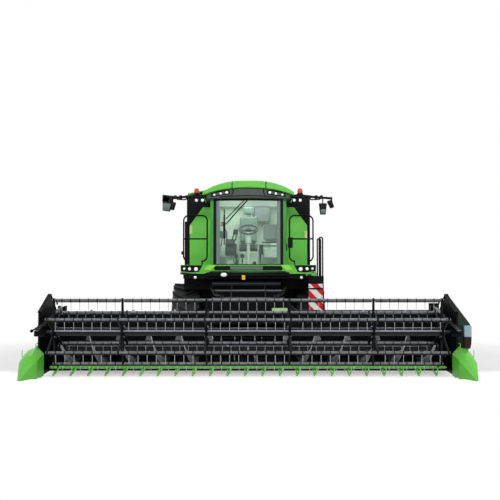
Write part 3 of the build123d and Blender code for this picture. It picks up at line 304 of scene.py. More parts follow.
# %% Rubber and plastic
def moulded(name, colour, shade, rough, grain, depth, dust=0.0, shine=0.5):
    """Moulded rubber or plastic with a pressed grain of the given size in metres."""
    material, tree, at = start_material(name)
    cells = add(tree, "TexVoronoi", {"Vector": at, "Scale": 1 / grain, "Randomness": 0.9})
    soil = add(tree, "TexNoise", {"Vector": at, "Scale": 1 / soil_patch, "Detail": 7.0, "Roughness": 0.65})
    tone = add(tree, "MixRGB", {0: soil, 1: colour, 2: shade})
    patchy = add(tree, "MapRange", {"Value": soil, "From Min": 0.45, "From Max": 0.7, "To Max": dust})
    look = {
        "Base Color": add(tree, "MixRGB", {0: patchy, 1: tone, 2: "#8A7C68"}),
        "Roughness": rough,
        "Specular IOR Level": shine,
        "Normal": add(tree, "Bump", {"Strength": depth, "Distance": 0.002, "Height": cells}),
    }
    finish_material(tree, look)
    return material


rubber = moulded("carbon black tyre rubber", "#131516", "#1E2122", 0.68, 0.006, 0.15, 0.04, 0.3)
hose_rubber = moulded("hydraulic hose rubber", "#0C0D0E", "#141516", 0.5, 0.004, 0.2, 0.0, 0.35)
plastic = moulded("grained black ABS", "#090B0C", "#060708", 0.45, 0.005, 0.2, 0.003, 0.1)
grey_plastic = moulded("grained grey ABS", "#5B6866", "#4F5B59", 0.5, 0.005, 0.2)
visor_grey = moulded("grained graphite ABS", "#494E4C", "#3C413F", 0.5, 0.005, 0.2, 0.0, 0.3)
border_grey = moulded("grey printed glass border", "#6E7F7B", "#5F706C", 0.3, 0.004, 0.05)
handset = moulded("orange brown handset", "#9C6A42", "#855834", 0.4, 0.005, 0.1)
trim = moulded("pale cab lining", "#BDD2C0", "#A9C1AE", 0.7, 0.006, 0.25)
iron = moulded("painted cast iron", "#4A4D4F", "#3C3F41", 0.6, 0.008, 0.5)

# %% [markdown]
# ## Glass, lenses and lights
# The panes are tinted safety glass. Part of the light passes straight through and the rest shows as a pale
# green veil, so alpha does it more calmly than true refraction would. Lamp lenses are polycarbonate with
# upright flutes, drawn 12 mm apart so that they show, and the beacons are amber with rings.

# %% Glass and lenses
glass, tree, at = start_material("tinted safety glass")
haze = add(tree, "TexNoise", {"Vector": at, "Scale": 1.3, "Detail": 3.0})
tint = add(tree, "MixRGB", {0: haze, 1: "#A9C2B4", 2: "#9BB5A7"})
limits = {"From Min": 0.3, "From Max": 0.7, "To Min": 0.03, "To Max": 0.09}
smear = add(tree, "MapRange", {"Value": haze, **limits})
finish_material(tree, {"Base Color": tint, "Roughness": smear, "Alpha": 0.1, "IOR": 1.45})


def lens(name, colour, shade, pitch, axis, glow=0.0, coat=1.0):
    """A ribbed lens: ribs a real pitch apart along one axis."""
    material, tree, at = start_material(name)
    wave = add(tree, "TexWave", {"Vector": at, "Scale": wave_unit / pitch}, bands_direction=axis)
    ribs = wave.outputs["Fac"]
    look = {
        "Base Color": add(tree, "MixRGB", {0: ribs, 1: shade, 2: colour}),
        "Roughness": 0.08,
        "Specular IOR Level": 0.2 + 0.3 * coat,
        "Coat Weight": coat,
        "Coat Roughness": 0.03,
        "Emission Color": colour,
        "Emission Strength": glow,
        "Normal": add(tree, "Bump", {"Strength": 0.3, "Distance": 0.002, "Height": ribs}),
    }
    finish_material(tree, look)
    return material


clear_lens = lens("fluted clear polycarbonate", "#F4F6F6", "#B9BFC2", 0.012, "X", 0.25)
amber_lens = lens("ringed amber polycarbonate", "#CE4A16", "#92300D", 0.012, "Z", 0.05, 0.2)
red_lens = lens("ribbed red polycarbonate", "#7A1D16", "#4D130F", 0.012, "Z")
rust_lens = lens("dull red polycarbonate", "#2E1009", "#1E0A06", 0.012, "Z", 0.0, 0.0)
blue_lens = lens("frosted marker lens", "#93AAB5", "#8299A4", 0.02, "Z", 0.0, 0.2)
reflector_lime = lens("pale lime reflector", "#CFE28A", "#B4CC6C", 0.01, "X", 0.0, 0.3)
# The ceiling panel glows faintly, painted light that brightens the inside of the cab
glowing_headliner = lens("frosted cab light panel", "#D9E8DB", "#C6DACB", 0.02, "Y", 0.35, 0.0)

# %% [markdown]
# ## Striped film, seat cloth, deck plate and screen sheet
# The marker board carries the general red and white stripes of wide vehicles, on a film with a honeycomb of
# tiny cells. The seat is woven, the decks are chequered plate, and the air screen is punched sheet.

# %% Striped film
board_film, tree, at = start_material("reflective striped film")
split = add(tree, "SeparateXYZ", {"Vector": at}).outputs
diagonal = add(tree, "Math", {0: split["X"], 1: split["Z"]}, operation="ADD")
# A pair of stripes takes 300 mm across the board, and they fall from left to right
shifted = add(tree, "Math", {0: diagonal, 1: 0.12}, operation="ADD")
stripe = add(tree, "Math", {0: shifted, 1: 0.15}, operation="PINGPONG")
red_share = add(tree, "Math", {0: stripe, 1: 0.15 / 2}, operation="GREATER_THAN")
film = add(tree, "MixRGB", {0: red_share, 1: "#E4E3E0", 2: "#C00D1A"})
cells = add(tree, "TexVoronoi", {"Vector": at, "Scale": 1 / film_cell, "Randomness": 0.1})
rims = add(tree, "MapRange", {"Value": cells, "From Min": 0.4, "From Max": 0.6, "To Max": 0.04})
celled = add(tree, "MixRGB", {0: rims, 1: film, 2: "#C9BFBB"})
finish_material(tree, {"Base Color": celled, "Roughness": 0.35, "Specular IOR Level": 0.15})

# %% Seat cloth
cloth, tree, at = start_material("woven seat cloth")
threads = {"Vector": at, "Scale": wave_unit / thread}
warp, weft = (add(tree, "TexWave", threads, bands_direction=axis).outputs["Fac"] for axis in "XZ")
weave = add(tree, "Math", {0: warp, 1: weft}, operation="MULTIPLY")
fleck = add(tree, "TexNoise", {"Vector": at, "Scale": 1 / 0.02, "Detail": 3.0})
tone = add(tree, "MixRGB", {0: fleck, 1: "#5F7A6C", 2: "#506A5D"})
bump = add(tree, "Bump", {"Strength": 0.4, "Distance": 0.001, "Height": weave})
finish_material(tree, {"Base Color": tone, "Roughness": 0.9, "Sheen Weight": 0.3, "Normal": bump})

# %% Chequer plate and punched sheet
chequer, tree, at = start_material("chequered deck plate")
# Raised lozenges in two directions
rows = []
for tilt in (45, -45):
    leaning = {"Vector": at, "Rotation": (0, 0, radians(tilt)), "Scale": (1, 0.35, 1)}
    row = {"Vector": add(tree, "Mapping", leaning), "Scale": 1 / lozenge_gap, "Randomness": 0.0}
    rows.append(add(tree, "TexVoronoi", row))
lozenge = add(tree, "Math", dict(enumerate(rows)), operation="MINIMUM")
limits = {"From Min": 0.16, "From Max": 0.3, "To Min": 1.0, "To Max": 0.0}
raised = add(tree, "MapRange", {"Value": lozenge, **limits})
worn = add(tree, "MixRGB", {0: raised, 1: "#26292B", 2: "#5D6164"})
bump = add(tree, "Bump", {"Strength": 0.6, "Distance": 0.003, "Height": raised})
finish_material(tree, {"Base Color": worn, "Metallic": 0.4, "Roughness": 0.45, "Normal": bump})

punched, tree, at = start_material("punched screen sheet")
cells = add(tree, "TexVoronoi", {"Vector": at, "Scale": 1 / screen_hole, "Randomness": 0.0})
limits = {"From Min": 0.3, "From Max": 0.38, "To Min": 1.0, "To Max": 0.0}
dark = add(tree, "MixRGB", {0: add(tree, "MapRange", {"Value": cells, **limits}), 1: "#3A3E40", 2: "#050606"})
finish_material(tree, {"Base Color": dark, "Metallic": 0.3, "Roughness": 0.5})
print(len(bpy.data.materials), "materials")

# %% [markdown]
# ## Modelling helpers
# A piece is built in a bmesh from a few primitive operators, then welded, given outward normals and handed to
# the frame. `put` stamps a ready mesh at many places, which is how tines and bolts are repeated. A bevel
# modifier rounds the edges, because real sheet and castings never end in a knife edge.

# %% Turns and sides
sideways = Matrix.Rotation(radians(90), 4, "Y")
forward = Matrix.Rotation(radians(90), 4, "X")
sides = (("left", 1), ("right", -1))


# %% Modelling helpers
def moved(*place):
    """A shift to a place."""
    return Matrix.Translation(place)


def cuboid(bm, low, high):
    """A box between two corners."""
    low, high = Vector(low), Vector(high)
    place = Matrix.Translation((low + high) / 2) @ Matrix.Diagonal((*(high - low), 1))
    bmesh.ops.create_cube(bm, size=1, matrix=place)


def boxes(bm, *corners):
    """A box for each pair of corners."""
    for low, high in corners:
        cuboid(bm, low, high)


def rod(bm, start, end, radius, tip=None, steps=16):
    """A round bar between two points; with a tip radius it tapers."""
    start, end = Vector(start), Vector(end)
    turn = (end - start).to_track_quat("Z", "Y").to_matrix().to_4x4()
    bmesh.ops.create_cone(
        bm,
        cap_ends=True,
        segments=steps,
        radius1=radius,
        radius2=radius if tip is None else tip,
        depth=(end - start).length,
        matrix=Matrix.Translation((start + end) / 2) @ turn,
    )


def across(y, z, low, high, radius, steps=24):
    """The two ends of a bar along X, for rod()."""
    return (low, y, z), (high, y, z), radius, None, steps


def turned(profile, steps=32):
    """A mesh spun about Z from (radius, height) points."""
    bm = bmesh.new()
    points = [bm.verts.new((r, 0, h)) for r, h in profile]
    edges = [bm.edges.new(pair) for pair in zip(points, points[1:])]
    bmesh.ops.spin(
        bm, geom=points + edges, cent=(0, 0, 0), axis=(0, 0, 1), angle=tau, steps=steps, use_merge=True
    )
    bmesh.ops.remove_doubles(bm, verts=bm.verts, dist=1e-5)
    bmesh.ops.recalc_face_normals(bm, faces=bm.faces)
    return bm


def kept(bm, name="stock"):
    """Turns a bmesh into a stock mesh, to be put in many places."""
    mesh = bpy.data.meshes.new(name)
    bm.to_mesh(mesh)
    bm.free()
    return mesh


def put(bm, mesh, place=Matrix.Identity(4)):
    """Adds a copy of a stock mesh at a place."""
    copy = mesh.copy()
    copy.transform(place)
    if place.determinant() < 0:
        copy.flip_normals()
    bm.from_mesh(copy)
    bpy.data.meshes.remove(copy)


def plate(bm, outline, axis, low, high):
    """A flat outline of two coordinates, drawn along the third axis from low to high."""
    spots = []
    for a, b in outline:
        spot = [a, b]
        spot.insert(axis, low)
        spots.append(bm.verts.new(spot))
    face = bm.faces.new(spots)
    grown = bmesh.ops.extrude_face_region(bm, geom=[face])["geom"]
    step = Vector((0, 0, 0))
    step[axis] = high - low
    bmesh.ops.translate(bm, vec=step, verts=[g for g in grown if isinstance(g, bmesh.types.BMVert)])


def pipe(bm, points, radius, bend=0.05, smooth=6, sides=3):
    """A bent tube: a quadratic NURBS line with three control points at each bend, given a round section."""
    spots = [Vector(p) for p in points]
    line = [spots[0]]
    for before, corner, after in zip(spots, spots[1:], spots[2:]):
        line += [corner + (before - corner).normalized() * bend, corner]
        line += [corner + (after - corner).normalized() * bend]
    line.append(spots[-1])
    curve = bpy.data.curves.new("line", "CURVE")
    curve.dimensions = "3D"
    spline = curve.splines.new("NURBS")
    spline.points.add(len(line) - 1)
    for control, spot in zip(spline.points, line):
        control.co = (*spot, 1)
    spline.order_u = 3
    spline.use_endpoint_u = True
    spline.resolution_u = smooth
    curve.bevel_depth = radius
    curve.bevel_resolution = sides
    curve.use_fill_caps = True
    holder = bpy.data.objects.new("line", curve)
    mesh = bpy.data.meshes.new_from_object(holder)
    bm.from_mesh(mesh)
    for block, store in ((holder, "objects"), (mesh, "meshes"), (curve, "curves")):
        getattr(bpy.data, store).remove(block)


def eased(bm, radius):
    """Rounds all edges of a block."""
    how = {"offset_type": "OFFSET", "segments": 3, "profile": 0.5, "affect": "EDGES", "material": -1}
    bmesh.ops.bevel(bm, geom=bm.edges[:], offset=radius, **how)


def mirrored(bm):
    """Adds the mirror image of everything so far on the other side of the machine."""
    copy = bmesh.ops.duplicate(bm, geom=bm.verts[:] + bm.edges[:] + bm.faces[:])["geom"]
    verts = [g for g in copy if isinstance(g, bmesh.types.BMVert)]
    faces = [g for g in copy if isinstance(g, bmesh.types.BMFace)]
    bmesh.ops.scale(bm, vec=(-1, 1, 1), verts=verts)
    bmesh.ops.reverse_faces(bm, faces=faces)


def piece(name, bm, body, finish, replaces=(), edge=0.0, smooth=35, weld=True):
    """Ends a piece: welded, normals outwards, its finish and body, and the solids it stands for."""
    if weld:
        bmesh.ops.remove_doubles(bm, verts=bm.verts, dist=1e-5)
        bmesh.ops.recalc_face_normals(bm, faces=bm.faces)
    mesh = bpy.data.meshes.new(name)
    bm.to_mesh(mesh)
    bm.free()
    mesh.shade_smooth()
    mesh.set_sharp_from_angle(angle=radians(smooth))
    mesh.materials.append(finish)
    made = stand(name, mesh)
    if edge:
        bevel = made.modifiers.new("edges", "BEVEL")
        bevel.width = edge
        bevel.segments = 2
        bevel.limit_method = "ANGLE"
        bevel.angle_limit = radians(40)
        bevel.harden_normals = True
    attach(made, body)
    if replaces:
        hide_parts(*replaces)
    return made


def body_of(node):
    """The body that a solid rides on."""
    return nodes[node]["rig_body"]


# %% [markdown]
# ## Solids with rounded edges
# Most solids already have the right shape, but their edges are sharp. A copy of each is welded, its flat
# faces are joined, and a bevel rounds the edges, so that they catch a line of light as pressed sheet does.
# Solids that have no edges to soften keep their own mesh and only get a finish.

# %% Soften the plain solids
# Columns: solid, finish, slot, edge radius in metres
softened = (
    ("cab_shell", post_green, "green_paint", 0.012),
    ("cab_roof", green, "green_paint", 0.035),
    ("roof_visor", visor_grey, "cab_plastic", 0.008),
    ("cab_door", plastic, "black_metal", 0.006),
    ("front_panels", green, "green_paint", 0.012),
    ("front_fascia", green, "green_paint", 0.008),
    ("platforms", chequer, "dark_frame", 0.004),
    ("grain_tank", green, "green_paint", 0.008),
    ("tank_lid_left", green, "green_paint", 0.006),
    ("tank_lid_right", green, "green_paint", 0.006),
    ("engine_hood", green, "green_paint", 0.012),
    ("side_cover_left", green, "green_paint", 0.01),
    ("side_cover_right", green, "green_paint", 0.01),
    ("rear_hood", green, "green_paint", 0.01),
    ("straw_chopper", frame_paint, "dark_frame", 0.004),
    ("separator_body", frame_paint, "dark_frame", 0.01),
    ("chassis_frame", frame_paint, "dark_frame", 0.006),
    ("rear_axle", frame_paint, "dark_frame", 0.006),
    ("knuckle_left", frame_paint, "dark_frame", 0.005),
    ("knuckle_right", frame_paint, "dark_frame", 0.005),
    ("feeder_house", black, "dark_frame", 0.006),
    ("header_frame", black, "black_metal", 0.005),
    ("end_sheets", black, "black_metal", 0.005),
    ("crop_dividers", green, "green_paint", 0.02),
    ("drive_shield", shield_paint, "black_metal", 0.012),
    ("reel_arms", black, "black_metal", 0.005),
    ("reel_rotor", tube_paint, "black_metal", 0.003),
    ("unloading_tube", green, "green_paint", 0.003),
    ("lift_barrels", black, "black_metal", 0.003),
    ("reel_barrels", black, "black_metal", 0.002),
)
for node, finish, slot, edge in softened:
    copy = bmesh.new()
    copy.from_mesh(nodes[node].data)
    bmesh.ops.remove_doubles(copy, verts=copy.verts, dist=2e-5)
    bmesh.ops.dissolve_limit(
        copy, angle_limit=radians(0.5), verts=copy.verts, edges=copy.edges, use_dissolve_boundaries=False
    )
    piece(node + "_soft", copy, body_of(node), finish, (node,), edge, weld=False)

# %% Solids that keep their own mesh
plain_finish = {
    "lift_rods": chrome,
    "reel_rods": chrome,
    "cab_glass": glass,
    "door_glass": glass,
    "engine_block": iron,
    "marker_board": board_film,
    "handrails": black,
    "ladder": frame_paint,
}
for node in nodes:
    if node.startswith("tyre"):
        plain_finish[node] = rubber
    elif node.startswith("rim"):
        plain_finish[node] = silver
for node, finish in plain_finish.items():
    nodes[node].data.materials.clear()
    nodes[node].data.materials.append(finish)

# %% [markdown]
# ## Reel bats and tines
# Each bat is a zinc coated tube that stays level as the reel turns, and a spring tine is clamped to it every
# 152 mm. One tine is drawn once: a slim finger that curves back a little. A dark clamp holds it, a rail lies
# under the bat between the spiders, and a crank plate at each end is what keeps the bat level. They are put
# at every place the solid has one, so the six bats match what the physics knows.

# %% One tine, one clamp and one crank
bat_radius = 0.0235
bm = bmesh.new()
ring = bmesh.ops.create_circle(bm, cap_ends=True, radius=0.0052, segments=6)["verts"]
bmesh.ops.translate(bm, verts=ring, vec=(0, 0, -0.018))
tip = [f for f in bm.faces if all(v in ring for v in f.verts)]
for drop, back, shrink in ((0.05, 0.0, 0.97), (0.045, 0.003, 0.94), (0.041, 0.006, 0.9), (0.03, 0.008, 0.8)):
    grown = bmesh.ops.extrude_face_region(bm, geom=tip)["geom"]
    bmesh.ops.delete(bm, geom=tip, context="FACES_ONLY")
    tip = [g for g in grown if isinstance(g, bmesh.types.BMFace)]
    ends = [g for g in grown if isinstance(g, bmesh.types.BMVert)]
    bmesh.ops.translate(bm, verts=ends, vec=(0, back, -drop))
    centre = sum((v.co for v in ends), Vector()) / len(ends)
    bmesh.ops.scale(bm, vec=(shrink, shrink, 1), verts=ends, space=Matrix.Translation(-centre))
tine = kept(bm, "tine")
bm = bmesh.new()
rod(bm, (-0.008, 0, 0), (0.008, 0, 0), bat_radius + 0.004, steps=12)
cuboid(bm, (-0.007, -0.009, -0.04), (0.007, 0.012, -0.018))
clamp = kept(bm, "clamp")
bm = bmesh.new()
outline = [(-0.026, 0.02), (0.022, 0.026), (0.085, -0.055), (0.06, -0.085), (-0.022, -0.02)]
plate(bm, outline, 0, -0.004, 0.004)
rod(bm, (-0.014, 0.068, -0.066), (0.012, 0.068, -0.066), 0.012, steps=10)
crank = kept(bm, "crank")


# %% Rows and profiles
def places_between(low, high, pitch):
    """Places from low to high, a pitch apart and centred between them."""
    count = int((high - low) / pitch) + 1
    first = (low + high - (count - 1) * pitch) / 2
    return [first + i * pitch for i in range(count)]


def ring_of(count, radius, a_centre, b_centre):
    """Pairs of coordinates evenly round a circle."""
    turns = [tau * i / count for i in range(count)]
    return [(a_centre + radius * cos(turn), b_centre + radius * sin(turn)) for turn in turns]


def there_and_back(line):
    """A ring's profile, the same above and below, from the upper half of its (radius, height) points."""
    return [(r, -h) for r, h in line] + line[::-1]


# %% Bats
tine_gap = 0.1524
spider_gap = 0.05  # from a spider's middle to the nearest tine
spider_x = (0.715, 2.16, 3.34)
bat_half = 3.37
reel_centre = Vector((0, -4.8, 0.83))
reel_radius = 0.55
bat_places = []
for i in range(6):
    a = radians(90 + 5.6 + 60 * i)
    bat_places.append(reel_centre + reel_radius * Vector((0, cos(a), sin(a))))
tine_places = [
    x
    for x in places_between(-bat_half + 0.11, bat_half - 0.11, tine_gap)
    if min(abs(abs(x) - s) for s in spider_x) >= spider_gap
]
for i, spot in enumerate(bat_places):
    name = f"reel_bat_{i + 1}"
    tube, tines, clamps = bmesh.new(), bmesh.new(), bmesh.new()
    rod(tube, *across(spot.y, spot.z, -bat_half, bat_half, bat_radius, 16))
    for x in tine_places:
        put(tines, tine, moved(x, spot.y, spot.z))
        put(clamps, clamp, moved(x, spot.y, spot.z))
    for x in (-3.3, 3.3):
        put(clamps, crank, moved(x, spot.y, spot.z))
    for low, high in ((-3.31, -2.19), (-2.13, -0.745), (-0.685, 0.685), (0.745, 2.13), (2.19, 3.31)):
        rod(clamps, *across(spot.y, spot.z - 0.033, low, high, 0.0085, 8))
    piece(name + "_tube", tube, body_of(name), bat_steel, (name,))
    piece(name + "_tines", tines, body_of(name), spring_steel, (name,))
    piece(name + "_clamps", clamps, body_of(name), plastic)
print("bats:", len(bat_places), "with", len(tine_places), "tines each")

# %% [markdown]
# ## Reel spiders
# Pressed steel spiders are bolted to the reel's tube. Each has a hub flange with a ring of hexagon bolts, an
# arm to every bat and a cup there in which the bat's tube turns.

# %% Hubs, bolts, arms and cups of the spiders
hub_half, cup_half = 0.022, 0.016
bolt = bmesh.new()
bmesh.ops.create_cone(bolt, cap_ends=True, segments=6, radius1=0.012, radius2=0.012, depth=0.009)
bolt = kept(bolt, "hexagon_bolt")
hub_line = [(0.073, hub_half), (0.118, hub_half), (0.122, 0.018)]
hub_ring = kept(turned(there_and_back(hub_line), 24))
cup_line = [(0.0215, cup_half), (0.031, cup_half), (0.034, 0.01)]
cup = kept(turned(there_and_back(cup_line), 14))
arm = bmesh.new()
plate(arm, [(-0.03, 0.1), (0.03, 0.1), (0.018, 0.525), (-0.018, 0.525)], 0, -0.019, 0.019)
arm = kept(arm)
hubs, nuts = bmesh.new(), bmesh.new()
for x in [side * s for s in spider_x for side in (-1, 1)]:
    middle = moved(x, reel_centre.y, reel_centre.z)
    put(hubs, hub_ring, middle @ sideways)
    for k in range(6):
        turn = Matrix.Rotation(radians(60 * k + 20), 4, "Z")
        for face in (-0.025, 0.025):
            put(nuts, bolt, middle @ sideways @ turn @ moved(0.1, 0, face))
    for spot in bat_places:
        put(hubs, cup, moved(x, spot.y, spot.z) @ sideways)
        out = spot - reel_centre
        put(hubs, arm, middle @ Matrix.Rotation(atan2(out.z, out.y) - pi / 2, 4, "X"))
piece("reel_hubs", hubs, "reel", black)
# A pale grey strip along the tube's front, a little above its middle, is a painted highlight, and a second
# one lies opposite it at the back
strip = bmesh.new()
for low, high in ((-3.33, -2.18), (-2.14, -0.735), (-0.695, 0.695), (0.735, 2.14), (2.18, 3.33)):
    cuboid(strip, (low, 0.066, -0.012), (high, 0.0755, 0.012))
strip = kept(strip)
bm = bmesh.new()
for turn in (166, 346):
    put(bm, strip, Matrix.Translation(reel_centre) @ Matrix.Rotation(radians(turn), 4, "X"))
piece("reel_tube_seams", bm, "reel", highlight_strip_grey, edge=0.003)
piece("reel_bolts", nuts, "reel", zinc)

# %% [markdown]
# ## Table auger
# The auger gathers the crop to the middle: a flight winds in from each end, and retracting fingers feed the
# house. A flight is a radial line spun about the shaft while it moves along it, then given its sheet's
# thickness, which is just how a helicoid is made. The crop has polished it, while the tube keeps its paint.

# %% Auger
auger_centre = Vector((0, -3.775, 0.47))
auger_pitch = 0.56
flight_steps = 32  # for one turn
flight_reach = 2.832
bm = bmesh.new()
line = [bm.verts.new((3.476, auger_centre.y, auger_centre.z + r)) for r in (0.148, 0.305)]
edge = bm.edges.new(line)
turns = flight_reach / auger_pitch
steps = int(turns * flight_steps)
bmesh.ops.rotate(bm, verts=line, cent=auger_centre, matrix=Matrix.Rotation(radians(30), 3, "X"))
bmesh.ops.spin(
    bm,
    geom=line + [edge],
    cent=auger_centre,
    axis=(1, 0, 0),
    dvec=(-flight_reach / steps, 0, 0),
    angle=turns * tau,
    steps=steps,
)
bmesh.ops.solidify(bm, geom=bm.faces[:], thickness=0.007)
mirrored(bm)
piece("auger_flights", bm, "auger", worn_steel, ("table_auger",))
bm = bmesh.new()
for low, high, radius, steps in (
    (-3.48, 3.48, 0.15, 40),
    (-3.69, 3.69, 0.03, 20),
    (-3.487, -3.463, 0.2, 40),
    (3.463, 3.487, 0.2, 40),
):
    rod(bm, *across(auger_centre.y, auger_centre.z, low, high, radius, steps))
piece("auger_tube", bm, "auger", tube_paint, ("table_auger",), edge=0.003)
bm = bmesh.new()
for i, x in enumerate(places_between(-0.5, 0.5, 0.125)):
    for turn in (0, 180):
        a = radians(i * 67 + turn)
        out = Vector((0, -sin(a), cos(a)))
        foot = Vector((x, 0, 0)) + auger_centre
        rod(bm, foot + out * 0.14, foot + out * 0.165, 0.022, 0.018, 10)
        rod(bm, foot + out * 0.14, foot + out * 0.29, 0.008, 0.006, 8)
piece("auger_fingers", bm, "auger", spring_steel, ("table_auger",))

# %% [markdown]
# ## Cutter bar
# Forged guards stand 76.2 mm apart and the knife's triangular sections slide between them. Every fourth
# guard carries a crop lifter, a sprung V of flat bar that slides along the ground and lifts laid crop over
# the knife. One of each is drawn and then put in its row.

# %% Guards, knife and lifters
knife_y, knife_z = -4.35, 0.165
guard_gap = 0.0762
guard = bmesh.new()
half = [(0.024, 0.03), (0.017, 0.0), (0.008, -0.105)]
outline = [(-0.024, 0.03), *half, (0, -0.125), (-0.008, -0.105), (-0.017, 0.0)]
plate(guard, outline, 2, -0.004, 0.006)
plate(guard, [(-0.012, -0.012), (0.012, -0.012), (0.005, -0.1), (-0.005, -0.1)], 2, 0.011, 0.018)
plate(guard, [(-0.007, -0.078), (0.007, -0.078), (0.005, -0.1), (-0.005, -0.1)], 2, 0.004, 0.012)
guard = kept(guard, "guard")
section = bmesh.new()
half = [(0.037, 0.028), (0.037, 0.0), (0.006, -0.06)]
plate(section, [(-0.037, 0.028), *half, (-0.006, -0.06), (-0.037, 0.0)], 2, 0.0065, 0.0095)
section = kept(section, "section")
lifter = bmesh.new()
outline = [(0.02, -0.016), (0.02, -0.04), (-0.12, -0.08), (-0.215, -0.122), (-0.243, -0.12), (-0.228, -0.095)]
plate(lifter, [*outline, (-0.11, -0.04)], 0, -0.034, -0.006)
spring = [(-0.016, -0.232, -0.108), (0.006, -0.17, -0.078), (0.036, -0.1, -0.022), (0.046, -0.04, 0.012)]
pipe(lifter, spring, 0.012, 0.03)
cuboid(lifter, (-0.02, 0.0, -0.03), (0.02, 0.025, -0.014))
lifter = kept(lifter, "lifter")
fingers, guards, knife = bmesh.new(), bmesh.new(), bmesh.new()
guard_places = places_between(-3.49, 3.49, guard_gap)
for i, x in enumerate(guard_places):
    put(fingers, guard, moved(x, knife_y, knife_z))
    put(knife, section, moved(x + guard_gap / 2, knife_y, knife_z))
    if i % 4 == 1:
        put(guards, lifter, moved(x, knife_y, knife_z))
    if i % 2 == 0:
        put(knife, bolt, moved(x, knife_y + 0.04, knife_z + 0.011))
cuboid(guards, (-3.52, knife_y - 0.014, knife_z - 0.006), (3.52, knife_y + 0.022, knife_z + 0.034))
cuboid(knife, (-3.51, knife_y + 0.022, knife_z - 0.018), (3.51, knife_y + 0.058, knife_z + 0.008))
for name, bm, slot, finish in (
    ("guard_fingers", fingers, "green_paint", fresh_green),
    ("bar_and_lifters", guards, "green_paint", fresh_green),
    ("knife", knife, "tine_steel", worn_steel),
):
    piece(name, bm, body_of("cutter_bar"), finish, ("cutter_bar",), weld=False)
print("guards:", len(guard_places))

# %% [markdown]
# ## Header body
# The back wall of the table is folded sheet on a frame. Pressed ribs stiffen it, a stripper bar keeps crop
# from going round the auger, and hoses and a cross pipe run along its top. End sheets have a folded rim.

# %% Ribs, stripper and rims
bm = bmesh.new()
rib = [(-3.447, 0.5), (-3.447, 1.05), (-3.455, 1.03), (-3.46, 0.98), (-3.46, 0.55)]
stripper = [(-3.445, 0.80), (-3.445, 0.86), (-3.505, 0.79), (-3.498, 0.775)]
for x in places_between(-3.5, 3.5, 0.35):
    if abs(x) > 0.72:
        plate(bm, rib, 0, x - 0.03, x + 0.03)
for side in (-1, 1):
    plate(bm, stripper, 0, *sorted((side * 0.66, side * 3.6)))
    low, high = sorted((side * 3.655, side * 3.702))
    for (y0, z0), (y1, z1) in (((-3.82, 1.48), (-4.52, 1.165)), ((-3.29, 1.09), (-3.82, 1.48))):
        rim = [(y0, z0), (y1, z1), (y1, z1 - 0.016), (y0, z0 - 0.016)]
        plate(bm, rim, 0, low - 0.012, high + 0.006)
    low, high = sorted((side * 3.2, side * 3.655))
    for y, z in ((-4.45, 0.125), (-4.3, 0.15)):
        cuboid(bm, (low, y, z), (high, y + 0.012, z + 0.03))
for z in (1.02, 0.62):
    rod(bm, (-3.62, -3.32, z), (3.62, -3.32, z), 0.03, steps=14)
piece("table_ribs", bm, "feeder", black, edge=0.003)

# %% Hoses and fittings along the header
bm = bmesh.new()
for i, (x, end) in enumerate(((-0.55, -3.5), (-0.51, -3.5), (0.52, 3.5), (0.56, 3.5), (0.6, 3.55))):
    z = 1.115 + 0.022 * (i % 3)
    line = [(x, -2.5, 1.44), (x, -2.9, 1.3), (x * 1.1, -3.3, 1.36), (x * 1.6, -3.35, z)]
    pipe(bm, [*line, (end, -3.35, z), (end, -3.42, z - 0.14)], 0.011, 0.12)
piece("header_hoses", bm, "feeder", hose_rubber, weld=False)
bm = bmesh.new()
for x in (-3.0, -2.2, -1.4, 1.4, 2.2, 3.0):
    cuboid(bm, (x - 0.02, -3.37, 1.09), (x + 0.02, -3.33, 1.175))
piece("hose_clips", bm, "feeder", zinc, edge=0.003)
bm = bmesh.new()
cuboid(bm, (0.453, -3.41, 1.13), (0.75, -3.4, 1.206))
piece("pale_header_plate", bm, "feeder", lime_paint, edge=0.004)

# %% [markdown]
# ## Dividers, drive shield and lever
# The divider's nose is a bent sheet shell with a rod that leads the stalks aside. Behind the left one stands
# the belt drive's shield, with two hinges, a latch and a marker lamp whose lower half is dull red. A lever
# for the transport lock sticks out of the right end sheet and ends in a round knob.

# %% Divider rods and skids
bm = bmesh.new()
for line, radius, bend in (
    ([(3.87, -5.03, 0.06), (3.8, -4.75, 0.36), (3.71, -4.5, 0.57), (3.70, -4.2, 0.62)], 0.009, 0.1),
    ([(3.72, -4.56, 0.53), (3.73, -4.54, 0.6), (3.7, -4.5, 0.62), (3.68, -4.48, 0.56)], 0.007, 0.03),
    ([(3.945, -4.6, 0.3), (3.95, -4.6, 0.46), (3.95, -4.58, 0.5)], 0.006, 0.03),
):
    pipe(bm, line, radius, bend)
boxes(bm, ((3.61, -4.63, 0.022), (3.955, -4.57, 0.036)), ((3.64, -4.78, 0.016), (3.95, -4.72, 0.03)))
mirrored(bm)
piece("divider_rods", bm, "feeder", fresh_green, weld=False)

# %% Shield hinges, latch, lamp halves and lever
bm = bmesh.new()
for y, z in ((-3.5, 0.62), (-4.3, 0.7)):
    rod(bm, (3.927, y - 0.06, z), (3.927, y + 0.06, z), 0.011, steps=10)
for y in (-3.75, -4.05, -4.35):
    plate(bm, [(y, 0.56), (y + 0.03, 0.56), (y + 0.03, 0.9), (y, 0.9)], 0, 3.922, 3.932)
cuboid(bm, (3.922, -3.95, 0.45), (3.938, -3.85, 0.5))
piece("shield_fittings", bm, body_of("drive_shield"), plastic, edge=0.003)
low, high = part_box("marker_lamp")
half_way = (low[2] + high[2]) / 2
upper, lower = bmesh.new(), bmesh.new()
cuboid(upper, (low[0], low[1], half_way), (high[0], high[1], high[2]))
outline = [(low[0], half_way - 0.002), (high[0], half_way - 0.002), (high[0] - 0.01, low[2] + 0.05)]
outline += [(high[0] - 0.06, low[2]), (low[0], low[2] + 0.02)]
plate(lower, outline, 1, low[1], high[1])
